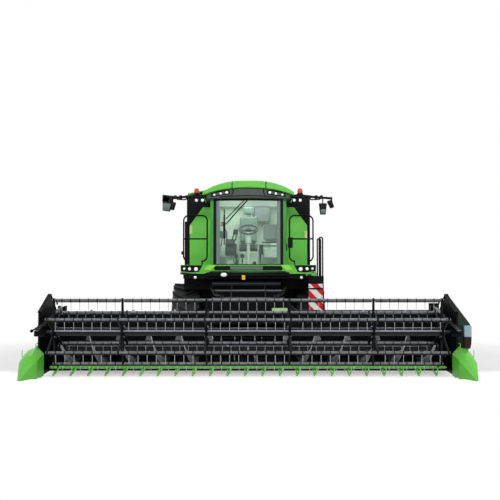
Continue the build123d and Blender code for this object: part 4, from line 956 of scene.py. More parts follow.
for name, bm, finish in (("upper", upper, blue_lens), ("lower", lower, rust_lens)):
    lamp_body = body_of("marker_lamp")
    piece("marker_lamp_" + name, bm, lamp_body, finish, ("marker_lamp",), edge=0.008)
bm = bmesh.new()
profile = [(0, -0.03), (0.018, -0.026), (0.03, -0.008), (0.03, 0.01), (0.018, 0.028), (0, 0.032)]
leaning = moved(-3.855, -4.36, 0.82) @ Matrix.Rotation(radians(-125), 4, "Y")
put(bm, kept(turned(profile, 16), "knob"), leaning)
rod(bm, (-3.7, -4.36, 0.92), (-3.74, -4.36, 0.895), 0.03, 0.022)
piece("lever_knob", bm, "feeder", plastic)

# %% [markdown]
# ## Reel arms and cylinders
# Each arm is a box beam with cross pins along its top, and a split block at its end holds the shaft's
# bearing. An oil line lies on each cylinder below.

# %% Arm pins, bearing blocks and oil lines
bm = bmesh.new()
bearing = kept(turned(there_and_back([(0.0285, 0.045), (0.075, 0.045), (0.085, 0.03)]), 24))
arm_foot_y, arm_foot_z = -3.42, 1.19
arm_slope = (reel_centre.z + 0.075 - arm_foot_z) / (reel_centre.y - arm_foot_y)
for x in (-3.54, 3.54):
    put(bm, bearing, moved(x, reel_centre.y, reel_centre.z) @ sideways)
    cuboid(bm, (x - 0.05, -4.86, 0.86), (x + 0.05, -4.74, 0.94))
    for k in range(9):
        y = -4.3 - 0.1 * k
        z = arm_foot_z + arm_slope * (y - arm_foot_y) + 0.045
        rod(bm, (x - 0.045, y, z), (x + 0.045, y, z), 0.01, steps=8)
piece("reel_arm_racks", bm, "reel_lift", black, edge=0.003)
# The oil line lies along each barrel, from its port at the foot to a clip near the rod's seal
bm = bmesh.new()
along, up = Vector((0, -0.9398, 0.3417)), Vector((0, 0.3417, 0.9398))
for x in (-3.54, 3.54):
    foot = Vector((x, -3.5, 0.76))
    line = [foot + along * s + up * h for s, h in ((0.07, 0.02), (0.07, 0.042), (0.3, 0.042), (0.3, 0.02))]
    pipe(bm, line, 0.008, 0.015)
piece("reel_ram_hoses", bm, "reel_barrel", hose_rubber)

# %% [markdown]
# ## Feeder house
# The feeder house hangs from its top drum. A cross shaft with collars lies over it, ribs stiffen its roof,
# and inside its mouth the chain carries slats. The lifting cylinders' hoses show from the front.

# %% Cross shaft, roof ribs and conveyor slats
feeder_slope = 0.4213  # rise for each metre of its length
bm = bmesh.new()
rod(bm, (-0.75, -1.76, 1.688), (0.66, -1.76, 1.688), 0.06, steps=32)
for x in (-0.765, 0.655):
    rod(bm, (x, -1.76, 1.688), (x + 0.025, -1.76, 1.688), 0.066, steps=28)
for x in places_between(-0.7, 0.62, 0.09):
    rod(bm, (x, -1.8, 1.7), (x, -1.834, 1.708), 0.012, steps=8)
for y in (-2.06, -2.45, -2.9):
    z = 1.758 + feeder_slope * (y + 1.52)
    rod(bm, (-0.735, y, z), (0.735, y, z), 0.032, steps=20)
for x in (-0.35, 0.35):
    plate(bm, [(-1.6, 1.718), (-1.6, 1.75), (-3.38, 1.0), (-3.38, 0.968)], 0, x - 0.012, x + 0.012)
for i in range(5):
    y, z = -3.3 + 0.3 * i, 0.46 + feeder_slope * 0.3 * i
    cuboid(bm, (-0.62, y - 0.02, z), (0.62, y + 0.02, z + 0.035))
# Shaft, ribs and slats are a grey lighter than the house's black, partly a painted highlight
piece("feeder_fittings", bm, "feeder", graphite, edge=0.003)
bm = bmesh.new()
for x, out in ((-0.7, -1), (0.7, 1)):
    line = [(x, -1.25, 1.3), (x + out * 0.12, -1.45, 1.66), (x + out * 0.1, -1.9, 1.62)]
    pipe(bm, [*line, (x, -2.3, 1.46), (x * 0.86, -2.52, 1.42)], 0.014, 0.12)
    line = [(x * 0.96, -1.25, 1.25), (x + out * 0.07, -1.5, 1.7), (x + out * 0.06, -1.95, 1.6)]
    pipe(bm, [*line, (x * 0.9, -2.3, 1.46), (x * 0.8, -2.52, 1.42)], 0.012, 0.12)
piece("feeder_hoses", bm, "feeder", hose_rubber, weld=False)
print("header is dressed")

# %% [markdown]
# ## Cab lining and controls
# Through the big windscreen one sees the whole work place: pale lining, a round steering wheel on a slim
# column, the console at the driver's right hand, pedals and a screen. These are small mouldings with soft
# corners, so each is a box or a bar with a bevel. The lining hides the painted shell from inside.

# %% Cab lining
dome_light = stand("dome_light", bpy.data.lights.new("dome_light", "AREA"))
dome_light.data.size = 1.1
dome_light.data.energy = 20
dome_light.location = (0, -1.35, 3.43)
half, back, floor_z, ceiling_z = 0.745, -0.602, 1.94, 3.44
opening, sill_z = 0.6, 2.49  # of the rear window
bm = bmesh.new()
boxes(
    bm,
    ((-half, -1.93, floor_z - 0.018), (half, back, floor_z)),
    ((-half, back - 0.023, floor_z), (half, back, sill_z)),
    ((-half, back - 0.038, sill_z), (-opening, back, ceiling_z)),
    ((opening, back - 0.038, sill_z), (half, back, ceiling_z)),
    ((-opening, back - 0.008, sill_z), (opening, back - 0.001, 3.41)),
    ((-half, back - 0.038, 3.405), (half, back, 3.45)),
    ((0.735, -1.34, floor_z), (0.748, -0.63, ceiling_z)),
    ((-0.748, -1.34, floor_z), (-0.735, -0.63, 2.35)),
)
piece("cab_lining", bm, "chassis", trim, edge=0.004)
# The whole ceiling glows faintly, painted light that brightens the cab from inside
bm = bmesh.new()
cuboid(bm, (-0.74, -1.9, ceiling_z), (0.74, -0.62, 3.462))
piece("cab_light_panel", bm, "chassis", glowing_headliner, edge=0.004)

# %% Seat base, console and levers
bm = bmesh.new()
cuboid(bm, (-0.16, -1.14, 1.94), (0.16, -0.84, 2.06))
for i, half in enumerate((0.17, 0.14, 0.165, 0.14, 0.17)):
    cuboid(bm, (-half, -1.15, 2.08 + 0.066 * i), (half, -0.83, 2.13 + 0.066 * i))
cuboid(bm, (-0.2, -1.2, 2.41), (0.2, -0.78, 2.452))
armrest = [(-1.5, 2.3), (-1.52, 2.42), (-1.3, 2.56), (-0.8, 2.58), (-0.78, 2.5), (-1.2, 2.44), (-1.3, 2.3)]
plate(bm, armrest, 0, -0.5, -0.26)
for i in range(5):
    cuboid(bm, (-0.16, -1.6, 2.39 + 0.048 * i), (0.15, -1.56, 2.42 + 0.048 * i))
plate(bm, [(-1.42, 2.56), (-1.3, 2.66), (-1.0, 2.68), (-0.95, 2.6), (-0.95, 2.56)], 0, -0.5, -0.3)
for x, lean in ((-0.36, 0.05), (-0.46, -0.04), (-0.28, 0.02)):
    rod(bm, (x, -1.26, 2.64), (x + lean, -1.32, 2.78), 0.014)
    rod(bm, (x + lean, -1.31, 2.77), (x + lean * 1.4, -1.34, 2.87), 0.034, 0.026)
# Columns: x, z and radius of each pedal
for x, z, radius in (
    (-0.26, 2.27, 0.045),
    (-0.13, 2.27, 0.045),
    (-0.24, 2.16, 0.022),
    (-0.13, 2.16, 0.022),
    (0.13, 2.12, 0.04),
):
    rod(bm, (x, -1.74, z), (x, -1.72, z + 0.004), radius, steps=20)
    rod(bm, (x, -1.71, z), (x, -1.66, 1.94), 0.012)
for z in (2.61, 2.53):
    rod(bm, (0.3, -1.0, z), (0.7, -1.0, z), 0.013)
rod(bm, (0.27, -1.0, 2.4), (0.26, -1.02, 2.14), 0.02, 0.013)
cuboid(bm, (0.24, -1.04, 2.34), (0.33, -0.96, 2.56))
piece("seat_base_and_console", bm, "chassis", plastic, ("cab_interior",), edge=0.008)

# %% Screens, second seat and handset
bm = bmesh.new()
boxes(
    bm,
    ((0.13, -0.78, 3.09), (0.485, -0.74, 3.435)),
    ((0.345, -0.76, 2.7), (0.69, -0.72, 3.03)),
    ((-0.62, -1.62, 2.66), (-0.45, -1.58, 2.82)),
    ((-0.66, -1.6, 2.08), (-0.5, -1.56, 2.26)),
)
rod(bm, (-0.55, -1.58, 2.74), (-0.6, -1.4, 2.5), 0.012)
piece("cab_screens", bm, "chassis", grey_plastic, edge=0.012)
bm = bmesh.new()
boxes(
    bm,
    ((0.34, -0.98, 2.27), (0.7, -0.7, 2.48)),
    ((0.5, -0.78, 2.48), (0.7, -0.7, 2.6)),
    ((-0.21, -1.24, 1.94), (0.21, -1.205, 2.39)),
)
plate(bm, [(-1.3, 1.94), (-1.3, 2.43), (-0.78, 2.48), (-0.78, 1.94)], 0, -0.47, -0.33)
piece("second_seat", bm, "chassis", trim, edge=0.02)
bm = bmesh.new()
cuboid(bm, (-0.6, -1.5, 2.93), (-0.54, -1.44, 3.03))
piece("cab_handset", bm, "chassis", handset, edge=0.01)

# %% Steering column and wheel
bm = bmesh.new()
rod(bm, (0, -1.76, 1.94), (0, -1.76, 1.99), 0.085, 0.06)
rod(bm, (0, -1.76, 1.97), (0, -1.66, 2.56), 0.042, 0.034)
rod(bm, (0, -1.67, 2.54), (0, -1.61, 2.77), 0.066, 0.055)
cuboid(bm, (-0.075, -1.68, 2.68), (0.075, -1.6, 2.76))
piece("steering_column", bm, "chassis", trim, edge=0.004)
grip = bmesh.new()
ring = bmesh.ops.create_circle(grip, radius=0.016, segments=10)["verts"]
bmesh.ops.rotate(grip, verts=ring, cent=(0, 0, 0), matrix=Matrix.Rotation(radians(90), 3, "X"))
bmesh.ops.translate(grip, verts=ring, vec=(0.2, 0, 0))
hoop = grip.verts[:] + grip.edges[:]
bmesh.ops.spin(grip, geom=hoop, cent=(0, 0, 0), axis=(0, 0, 1), angle=tau, steps=40, use_merge=True)
for turn in (90, 210, 330):
    spoke = Vector((cos(radians(turn)), sin(radians(turn)), 0))
    rod(grip, spoke * 0.03, spoke * 0.195 + Vector((0, 0, 0.004)), 0.014, 0.01, 8)
rod(grip, (0, 0, -0.03), (0, 0, 0.02), 0.05, 0.045, 20)
for side in (-1, 1):
    rod(grip, (side * 0.05, 0.02, -0.05), (side * 0.17, 0.05, -0.03), 0.009, 0.014, 8)
leaning = moved(0, -1.58, 2.85) @ Matrix.Rotation(radians(32), 4, "X")
bmesh.ops.transform(grip, verts=grip.verts, matrix=leaning)
piece("steering_wheel", grip, "chassis", plastic)

# %% [markdown]
# ## Seat cushions
# A driver's seat is foam in a woven cover. The foam pushes the cover out, so a cushion is crowned and its
# sides pull in between the corners. Cloth physics gives just that: a slightly small block is remeshed, blown
# up a little with the gravity off, and how far any point moves is capped. Two sewn channels are pressed in
# afterwards, because remeshing would remove them.


# %% A padded block
puff_cap = 0.014
puff_frames = 20
seam_place, seam_half, seam_depth = 0.11, 0.02, 0.007


def final_mesh(thing):
    """A new mesh of the object as its modifiers leave it."""
    return bpy.data.meshes.new_from_object(thing.evaluated_get(bpy.context.evaluated_depsgraph_get()))


def padded_block(name, low, high):
    """A foam cushion between two corners, with two sewn channels running along it."""
    shape = bmesh.new()
    cuboid(shape, low, high)
    eased(shape, 0.022)
    made = piece(name, shape, "chassis", cloth)
    remesh = made.modifiers.new("voxels", "REMESH")
    remesh.mode = "VOXEL"
    remesh.voxel_size = 0.009
    even = final_mesh(made)
    made.modifiers.clear()
    made.data = even
    puff = made.modifiers.new("puff", "CLOTH")
    puff.settings.use_pressure = True
    puff.settings.uniform_pressure_force = 4
    puff.settings.effector_weights.gravity = 0
    puff.point_cache.frame_end = puff_frames
    before = [v.co.copy() for v in even.vertices]
    for frame_number in range(1, puff_frames + 1):
        bpy.context.scene.frame_set(frame_number)
    after = final_mesh(made)
    for v, old in zip(after.vertices, before):
        step = v.co - old
        v.co = old + step * min(1.0, puff_cap / max(step.length, 1e-6))
    bpy.context.scene.frame_set(1)
    centre = (Vector(low) + Vector(high)) / 2
    for v in after.vertices:
        off = min(abs(abs(v.co.x - centre.x) - seam_place), seam_half)
        v.co += (centre - v.co).normalized() * seam_depth * (1 - off / seam_half)
    made.modifiers.clear()
    made.data = after
    after.materials.clear()
    after.materials.append(cloth)
    after.shade_smooth()
    rounder = made.modifiers.new("rounder", "SUBSURF")
    rounder.levels = rounder.render_levels = 1
    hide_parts("cab_interior")
    print(name, len(after.vertices), "points")


# %% The seat
padded_block("seat_cushion", (-0.215, -1.205, 2.455), (0.215, -0.775, 2.57))
padded_block("seat_back", (-0.205, -0.86, 2.6), (0.205, -0.765, 3.215))
padded_block("seat_headrest", (-0.12, -0.855, 3.25), (0.12, -0.775, 3.415))
bm = bmesh.new()
for x in (-0.06, 0.06):
    rod(bm, (x, -0.81, 3.19), (x, -0.81, 3.28), 0.006, steps=8)
piece("headrest_posts", bm, "chassis", chrome)

# %% [markdown]
# ## Windscreen gaskets and wiper
# The windscreen is bowed, so what lies on it is bowed too. The same arc as the solid's is used: a short
# upright edge is spun about the arc's centre and then given a thickness. Dark gaskets close its sides, and
# two parallel arms from the top hold the upright blade of the wiper.

# %% On the windscreen's arc
def radius_of(half, rise):
    """The radius of an arc that is two halves wide and rises in the middle."""
    return (half**2 + rise**2) / (2 * rise)


arc_radius = radius_of(0.8, 0.11)
arc_centre = Vector((0, -1.95 - 0.11 + arc_radius, 0))


def turn_at(x, radius):
    """The angle about the arc's centre at which a circle of the radius reaches x."""
    return atan2(x, (radius**2 - x**2) ** 0.5)


def bowed(bm, x_low, x_high, z_low, z_high, proud, wall, steps=8):
    """A strip on the bowed front, its outer face proud of the cab's face."""
    radius = arc_radius + proud
    start, end = (turn_at(x, radius) for x in (x_low, x_high))
    foot = arc_centre + Vector((radius * sin(start), -radius * cos(start), 0))
    strip = bmesh.new()
    line = [strip.verts.new(foot + Vector((0, 0, z))) for z in (z_low, z_high)]
    edge = strip.edges.new(line)
    bmesh.ops.spin(strip, geom=line + [edge], cent=arc_centre, axis=(0, 0, 1), angle=end - start, steps=steps)
    bmesh.ops.recalc_face_normals(strip, faces=strip.faces)
    bmesh.ops.solidify(strip, geom=strip.faces[:], thickness=wall)
    put(bm, kept(strip))


screen_half, gasket_in, border_in = 0.735, 0.672, 0.6
gaskets, borders = bmesh.new(), bmesh.new()
for side in (-1, 1):
    bowed(gaskets, *sorted((side * gasket_in, side * screen_half)), 2.075, 3.45, 0.004, 0.03, 3)
    bowed(borders, *sorted((side * border_in, side * gasket_in)), 2.09, 3.43, 0.002, 0.02, 3)
for low, high in ((3.425, 3.462), (2.062, 2.092)):
    bowed(gaskets, -screen_half, screen_half, low, high, 0.004, 0.03, 20)
piece("screen_gaskets", gaskets, "chassis", plastic)
piece("screen_borders", borders, "chassis", border_grey)


# %% Wiper
def on_screen(x, z, proud=0.03):
    """A point in front of the bowed glass."""
    return Vector((x, arc_centre.y - ((arc_radius + proud) ** 2 - x**2) ** 0.5, z))


blade_x = -0.505
bm = bmesh.new()
for spots, radius, bend in (
    (((0.0, 3.445), (-0.21, 3.22), (-0.42, 2.98)), 0.013, 0.03),
    (((-0.07, 3.445), (-0.27, 3.24), (-0.47, 3.03)), 0.01, 0.03),
    (((-0.42, 2.98, 0.034), (-0.47, 2.93, 0.034), (blade_x, 2.93)), 0.01, 0.02),
):
    pipe(bm, [on_screen(*spot) for spot in spots], radius, bend)
for low, high, wide in ((2.5, 3.24, 0.011), (2.62, 3.12, 0.017), (2.8, 2.98, 0.024)):
    pipe(bm, [on_screen(blade_x, z, 0.02) for z in (low, (low + high) / 2, high)], wide)
for x in (0.0, -0.06):
    spot = on_screen(x, 3.45, 0.0)
    rod(bm, spot, spot + Vector((0, -0.045, 0)), 0.02, 0.014)
piece("windscreen_wiper", bm, "chassis", plastic, weld=False)

# %% [markdown]
# ## Lamps
# Every lamp is the same idea: a dark moulded rim and a fluted, slightly domed lens. Each is turned once as a
# profile of radius 1, then put at its place at its own size. Some sit in the visor and the fascia, and those
# that hang from a bracket get a bowl as well.

# %% Lamp bowls and lenses
profile = [(0.9, -0.4), (0.88, 0.1), (0.94, 0.26), (1.06, 0.3), (1.16, 0.2), (1.2, -0.4)]
rim_mesh = kept(turned(profile, 28), "lamp_rim")
profile = [(0, 0.24), (0.45, 0.2), (0.75, 0.12), (0.9, 0.02), (0.9, -0.3), (0, -0.3)]
lens_mesh = kept(turned(profile, 28), "lens")
bowl_mesh = kept(turned([(1.0, 0.0), (1.02, -0.5), (0.8, -1.1), (0.4, -1.5), (0, -1.6)], 20), "lamp_bowl")
visor_radius = radius_of(0.9, 0.12)


def visor_front(x):
    """Where the visor's bowed front is at x."""
    return -2.16 + visor_radius - (visor_radius**2 - x**2) ** 0.5


bm = bmesh.new()
lamp_field = [(0.385, 3.6), (0.43, 3.628), (0.6, 3.606), (0.765, 3.566)]
lamp_field += [(0.775, 3.505), (0.6, 3.528), (0.4, 3.546), (0.385, 3.6)]
brow = [(0.0, 3.512), (0.2, 3.51), (0.35, 3.505), (0.6, 3.49)]
for sign in (-1, 1):
    for line in ([(0.33, 3.655), (0.31, 3.6), (0.35, 3.52)], lamp_field, brow):
        pipe(bm, [(sign * x, visor_front(x) - 0.004, z) for x, z in line], 0.009, 0.012)
piece("visor_lines", bm, "chassis", black, weld=False)
bowls, lenses = bmesh.new(), bmesh.new()
bezel_y = -2.094
# Columns: x, z, radius, y of the seat, and where the bracket of a hung lamp ends
for x, z, r, y, top in (
    (0.45, 3.584, 0.034, visor_front(0.45), None),
    (0.575, 3.564, 0.03, visor_front(0.575), None),
    (0.712, 3.54, 0.03, visor_front(0.712), None),
    (1.09, 1.985, 0.052, bezel_y, None),
    (1.225, 1.99, 0.042, bezel_y, None),
    (1.335, 1.995, 0.036, bezel_y, None),
    (0.96, 3.425, 0.036, -2.1, 3.48),
    (1.085, 3.425, 0.036, -2.1, 3.48),
    (1.11, 1.815, 0.034, -2.03, 1.9),
):
    place = moved(x, y, z) @ forward @ Matrix.Scale(r, 4)
    put(bowls, rim_mesh, place)
    put(lenses, lens_mesh, place)
    if top:
        put(bowls, bowl_mesh, place)
        rod(bowls, (x, y + 0.03, z + r * 0.8), (x, y + 0.03, top), 0.009, steps=8)
mirrored(bowls)
mirrored(lenses)
wide = moved(-0.509, -2.13, 1.868) @ forward @ Matrix.Diagonal((0.075, 0.048, 0.05, 1))
for target, mesh in ((bowls, rim_mesh), (bowls, bowl_mesh), (lenses, lens_mesh)):
    put(target, mesh, wide)
rod(bowls, (-0.509, -2.1, 1.89), (-0.509, -2.08, 1.95), 0.012, steps=8)
piece("lamp_bowls", bowls, "chassis", plastic, weld=False)
piece("lamp_lenses", lenses, "chassis", clear_lens, ("work_lamps",), weld=False)

# %% [markdown]
# ## Beacons and mirrors
# A beacon is a ribbed amber dome on a black base, a spun profile. The mirrors hang from arms that reach out
# of the visor's corners. Their housings are deep shells, narrower at the bottom, with the silvered glass
# facing the driver, and a bent tube carries them.

# %% Beacons
profile = [(0.05, 0.05), (0.055, 0.065), (0.055, 0.112), (0.048, 0.138), (0.028, 0.154), (0, 0.16)]
dome = kept(turned(profile, 28), "dome")
profile = [(0, 0), (0.06, 0), (0.064, 0.012), (0.064, 0.04), (0.054, 0.055), (0, 0.055)]
foot = kept(turned(profile, 28), "foot")
visor_top = 3.5253
domes, feet = bmesh.new(), bmesh.new()
for x in (-1.085, 1.085):
    put(domes, dome, moved(x, -2.05, visor_top))
    put(feet, foot, moved(x, -2.05, visor_top))
piece("beacon_domes", domes, "chassis", amber_lens, ("beacons",))
piece("beacon_feet", feet, "chassis", plastic)


# %% Mirrors
def housing(bm, glass_bm, centre, wide, high, deep, narrow, tip):
    """A mirror's shell, narrower below and smaller at its back, and its glass on the driver's side."""
    shell, pane = bmesh.new(), bmesh.new()
    bmesh.ops.create_cube(shell, size=1, matrix=Matrix.Diagonal((wide, deep, high, 1)))
    for v in shell.verts:
        v.co.x *= (narrow if v.co.z < 0 else 1) * (0.82 if v.co.y < 0 else 1)
        v.co.z *= 0.86 if v.co.y < 0 else 1
    eased(shell, 0.018)
    x, z = 0.42 * wide, 0.42 * high
    plate(pane, [(-x, z), (x, z), (x * narrow, -z), (-x * narrow, -z)], 1, deep / 2 - 0.006, deep / 2 + 0.003)
    place = Matrix.Translation(centre) @ Matrix.Rotation(tip, 4, "Y")
    put(bm, kept(shell), place)
    put(glass_bm, kept(pane), place)


mirror_y = -2.05
shells, greys, panes = bmesh.new(), bmesh.new(), bmesh.new()
for x, z, wide, high, narrow, tip in (
    (-1.7, 3.37, 0.27, 0.35, 0.62, 0.12),
    (-1.72, 3.45, 0.2, 0.15, 0.8, 0.35),
    (1.565, 3.25, 0.18, 0.25, 0.7, 0.0),
    (1.73, 3.35, 0.12, 0.18, 0.8, -0.4),
    (-1.585, 3.31, 0.12, 0.18, 0.8, 0.2),
):
    housing(shells, panes, (x, mirror_y, z), wide, high, 0.085, narrow, tip)
housing(greys, panes, (-1.71, mirror_y - 0.015, 3.29), 0.2, 0.17, 0.09, 0.8, 0.12)
housing(greys, panes, (1.565, mirror_y - 0.015, 3.19), 0.14, 0.11, 0.09, 0.8, 0.0)
for side, tip_x in ((-1, -1.69), (1, 1.75)):
    arm = [(side * 0.88, mirror_y, 3.5), (side * 1.3, -2.07, 3.5), (tip_x, mirror_y, 3.47)]
    stay = [(side * 0.9, -2.02, 3.54), (side * 1.2, -2.04, 3.53), (side * 1.5, mirror_y, 3.485)]
    loop = [(side * 1.25, -2.04, 3.48), (side * 1.33, mirror_y, 3.44), (side * 1.5, mirror_y, 3.45)]
    for line, radius, bend in ((arm, 0.026, 0.1), (stay, 0.018, 0.1), (loop, 0.014, 0.05)):
        pipe(shells, line, radius, bend)
    for x in (1.28, 1.42, 1.53):
        cuboid(shells, (side * x - 0.028, -2.09, 3.455), (side * x + 0.028, -2.02, 3.53))
    rod(shells, (tip_x, mirror_y, 3.5), (tip_x, mirror_y, 3.4), 0.012, steps=10)
    cuboid(shells, (side * 1.11 - 0.09, -2.09, 3.49), (side * 1.11 + 0.09, -2.01, 3.524))
rod(shells, (1.56, mirror_y, 3.5), (1.56, mirror_y, 3.34), 0.012, steps=10)
rod(shells, (-1.585, mirror_y, 3.5), (-1.585, mirror_y, 3.35), 0.012, steps=10)
piece("mirror_lower_shells", greys, "chassis", grey_plastic, weld=False)
piece("mirror_housings", shells, "chassis", plastic, ("mirrors",), weld=False)
piece("mirror_glasses", panes, "chassis", mirror_glass, weld=False)

# %% [markdown]
# ## Roof details
# The roof is a large moulding in three parts, so two seams run from front to back, and the air intake's
# grille sits in its rear half. The seams are thin gasket lines that stand a few millimetres proud.

# %% Roof seams, grille and aerial
seam_z = 3.807  # of the roof's surface at the seams
down = Vector((0, 0, -1))
bm = bmesh.new()
roof = bmesh.new()
roof.from_mesh(nodes["cab_roof"].data)
roof_tree = BVHTree.FromBMesh(roof)
roof.free()
for x in (-0.337, 0.366):
    line = [roof_tree.ray_cast(Vector((x, -2.26 + 0.1 * i, 4.2)), down)[0] for i in range(18)]
    line = [p for p in line if p is not None]
    front = roof_tree.ray_cast(Vector((x, -3.0, 3.69)), Vector((0, 1, 0)))[0]
    nose = [front, Vector((x, front.y, line[0].z - 0.03)), Vector((x, front.y + 0.03, line[0].z))]
    pipe(bm, [front - Vector((0, 0, 0.03)), *nose, *line[1:]], 0.009, 0.01)
slat = [(-0.28, seam_z), (0, 3.815), (0.28, seam_z)]
slat += [(0.28, seam_z + 0.02), (0, 3.838), (-0.28, seam_z + 0.02)]
for i in range(9):
    y = -1.25 + 0.06 * i
    plate(bm, slat, 1, y, y + 0.02)
rod(bm, (-0.7, -0.7, 3.7), (-0.7, -0.7, 3.75), 0.03, 0.018)
piece("roof_seams_and_grille", bm, "chassis", plastic, weld=False)
# %% [markdown]
# ## Fascia trim
# Below the windscreen runs a dark belt, bare of any sign. At each end of the fascia, a black bezel frames
# three round lamps, and pale green corners lead from it to the cab. Each is a flat moulding with a rounded
# edge, so an outline drawn out by a centimetre or so is enough.

# %% Bezels, belt and corners
bm = bmesh.new()
plate(bm, [(0.955, 2.066), (1.405, 2.066), (1.4, 1.943), (1.2, 1.915), (1.03, 1.926)], 1, -2.099, -2.086)
mirrored(bm)
plate(bm, [(-0.735, 2.052), (0.735, 2.052), (0.70, 1.958), (-0.70, 1.958)], 1, -2.099, -2.086)
piece("fascia_bezels", bm, "chassis", plastic, edge=0.004)

bm = bmesh.new()
plate(bm, [(0.66, 2.068), (0.845, 2.068), (0.93, 1.965), (0.79, 1.95)], 1, -2.103, -2.088)
mirrored(bm)
piece("fascia_corners", bm, "chassis", light_green, edge=0.005)

bm = bmesh.new()
plate(bm, [(-0.375, 2.042), (0.3, 2.042), (0.3, 1.97), (-0.375, 1.97)], 1, -2.104, -2.098)
piece("bare_plate", bm, "chassis", grey_plastic, edge=0.002)

# %% Beam, latch plate and marker strips under and beside the cab
bm = bmesh.new()
boxes(
    bm,
    ((-1.36, -2.03, 1.79), (1.36, -2.015, 1.868)),
    ((-1.36, -2.03, 1.79), (1.36, -1.93, 1.8)),
    ((-0.86, -2.1, 1.84), (0.86, -2.06, 1.918)),
    ((-1.405, -1.18, 1.9), (-1.29, -1.15, 3.06)),
    ((0.83, -2.055, 2.43), (0.93, -2.0, 2.65)),
    ((-1.4, -2.06, 2.29), (-1.35, -2.0, 2.36)),
)
for x in (-1.2, -0.75, -0.25, 0.25, 0.75, 1.2):
    cuboid(bm, (x - 0.02, -2.015, 1.8), (x + 0.02, -1.95, 1.868))
piece("cab_front_beam", bm, "chassis", frame_paint, edge=0.006)
# Black plates fill the gap between the body's flank and the tyre, painted shade so that the gap shows dark
bm = bmesh.new()
cuboid(bm, (0.72, -1.36, 1.56), (1.4, -1.34, 1.86))
cuboid(bm, (1.38, -1.34, 1.6), (1.4, -0.3, 1.76))
mirrored(bm)
piece("wheel_guards", bm, "chassis", plastic, edge=0.004)
bm = bmesh.new()
cuboid(bm, (1.2, -2.11, 1.845), (1.42, -2.095, 1.905))
cuboid(bm, (0.86, -2.105, 1.885), (1.2, -2.095, 1.912))
piece("deck_edge", bm, "chassis", green, edge=0.004)
bm = bmesh.new()
cuboid(bm, (-0.135, -2.115, 1.762), (-0.063, -2.09, 1.858))
piece("latch_plate", bm, "chassis", yellow, edge=0.004)
bm = bmesh.new()
cuboid(bm, (1.232, -1.268, 2.67), (1.292, -1.24, 2.84))
cuboid(bm, (-1.292, -1.268, 2.77), (-1.232, -1.24, 2.96))
piece("edge_markers", bm, "chassis", reflector_lime, edge=0.01)

# %% [markdown]
# ## Ladder and marker board
# The ladder's treads are pressed upwards into small teeth, so that a boot holds in mud. The striped
# board in front of it is in two parts with a strap between them, and it has a rounded rim of its own.

# %% Treads, strap and hinges of the ladder
bm = bmesh.new()
for z in (0.515, 0.795, 1.075, 1.355, 1.635):
    for i in range(6):
        for k in range(3):
            foot = Vector((1.327 + 0.041 * i, -2.11 + 0.155 * k, z))
            rod(bm, foot, foot + Vector((0, 0, 0.008)), 0.014, 0.009, 8)
piece("ladder_teeth", bm, body_of("ladder"), zinc)
bm = bmesh.new()
inner, outer, foot_z, head_z = 1.236, 1.549, 1.09, 1.69
boxes(
    bm,
    ((inner, -2.222, 1.562), (outer, -2.21, 1.592)),
    ((inner, -2.218, foot_z), (outer, -2.2, foot_z + 0.012)),
    ((inner, -2.218, head_z - 0.012), (outer, -2.2, head_z)),
    ((inner, -2.218, foot_z), (inner + 0.008, -2.2, head_z)),
    ((outer - 0.008, -2.218, foot_z), (outer, -2.2, head_z)),
)
for z in (1.15, 1.4, 1.63):
    for x in (1.27, 1.52):
        rod(bm, (x, -2.226, z), (x, -2.21, z), 0.008, steps=6)
piece("board_rim", bm, body_of("marker_board"), black, edge=0.002)
print("front trim is on")

# %% [markdown]
# ## Wheels
# A rim is rolled from one strip: its flanges hold the tyre's beads, and the well between them lets the tyre
# be fitted. Its dished disc is welded in and bolted to the hub. Both are profiles spun about the axle, and
# the same stock serves the left and right side.

# %% Rims, nuts, hub caps and rings on the tyres
def wheel_stock(rim, reach, disc, spindle, nuts, circle):
    """Stock meshes of one rim and of its nuts and cap, about Z with the outer side up."""
    outside = [(rim + 0.014, reach + 0.012), (rim + 0.014, reach + 0.005), (rim, reach)]
    outside += [(rim - 0.001, 0.42 * reach), (rim - 0.028, 0.34 * reach)]
    inside = [(rim - 0.042, 0.34 * reach), (rim - 0.014, 0.44 * reach), (rim - 0.014, reach)]
    inside.append((rim - 0.008, reach + 0.012))
    under = [(r, -h) for r, h in reversed(outside)]
    barrel = outside + under + [(r, -h) for r, h in reversed(inside)] + inside
    shape = turned([*barrel, barrel[0]], 48)
    hub, well, low, top = spindle + 0.003, rim - 0.03, disc + 0.022, disc + 0.06
    dish = [(hub, disc), (well, disc), (well, low), (circle + 0.075, low), (circle + 0.055, low + 0.016)]
    dish += [(circle - 0.03, low + 0.016), (hub + 0.05, low), (hub + 0.05, top), (hub, top), (hub, disc)]
    put(shape, kept(turned(dish, 48)))
    for i in range(8):
        lug = bmesh.new()
        cuboid(lug, (well - 0.05, -0.03, low), (well + 0.004, 0.03, low + 0.035))
        put(shape, kept(lug), Matrix.Rotation(tau * i / 8, 4, "Z"))
    metal_parts = bmesh.new()
    for i in range(nuts):
        a = tau * i / nuts
        spot = Vector((circle * cos(a), circle * sin(a), low + 0.016))
        # Washer, nut and the stud's end
        for height, radius, steps in ((0.006, 0.019, 12), (0.028, 0.015, 6), (0.042, 0.008, 8)):
            rod(metal_parts, spot, spot + Vector((0, 0, height)), radius, steps=steps)
    rod(metal_parts, (well - 0.03, 0.09, low), (well - 0.045, 0.09, low + 0.06), 0.005, steps=8)
    cap = [(0, top + 0.036), (0.5 * hub, top + 0.034), (hub, top + 0.022), (hub + 0.012, top + 0.004)]
    cap.append((hub + 0.02, top))
    return kept(shape, "rim"), kept(metal_parts, "nuts"), kept(turned(cap, 32), "cap")


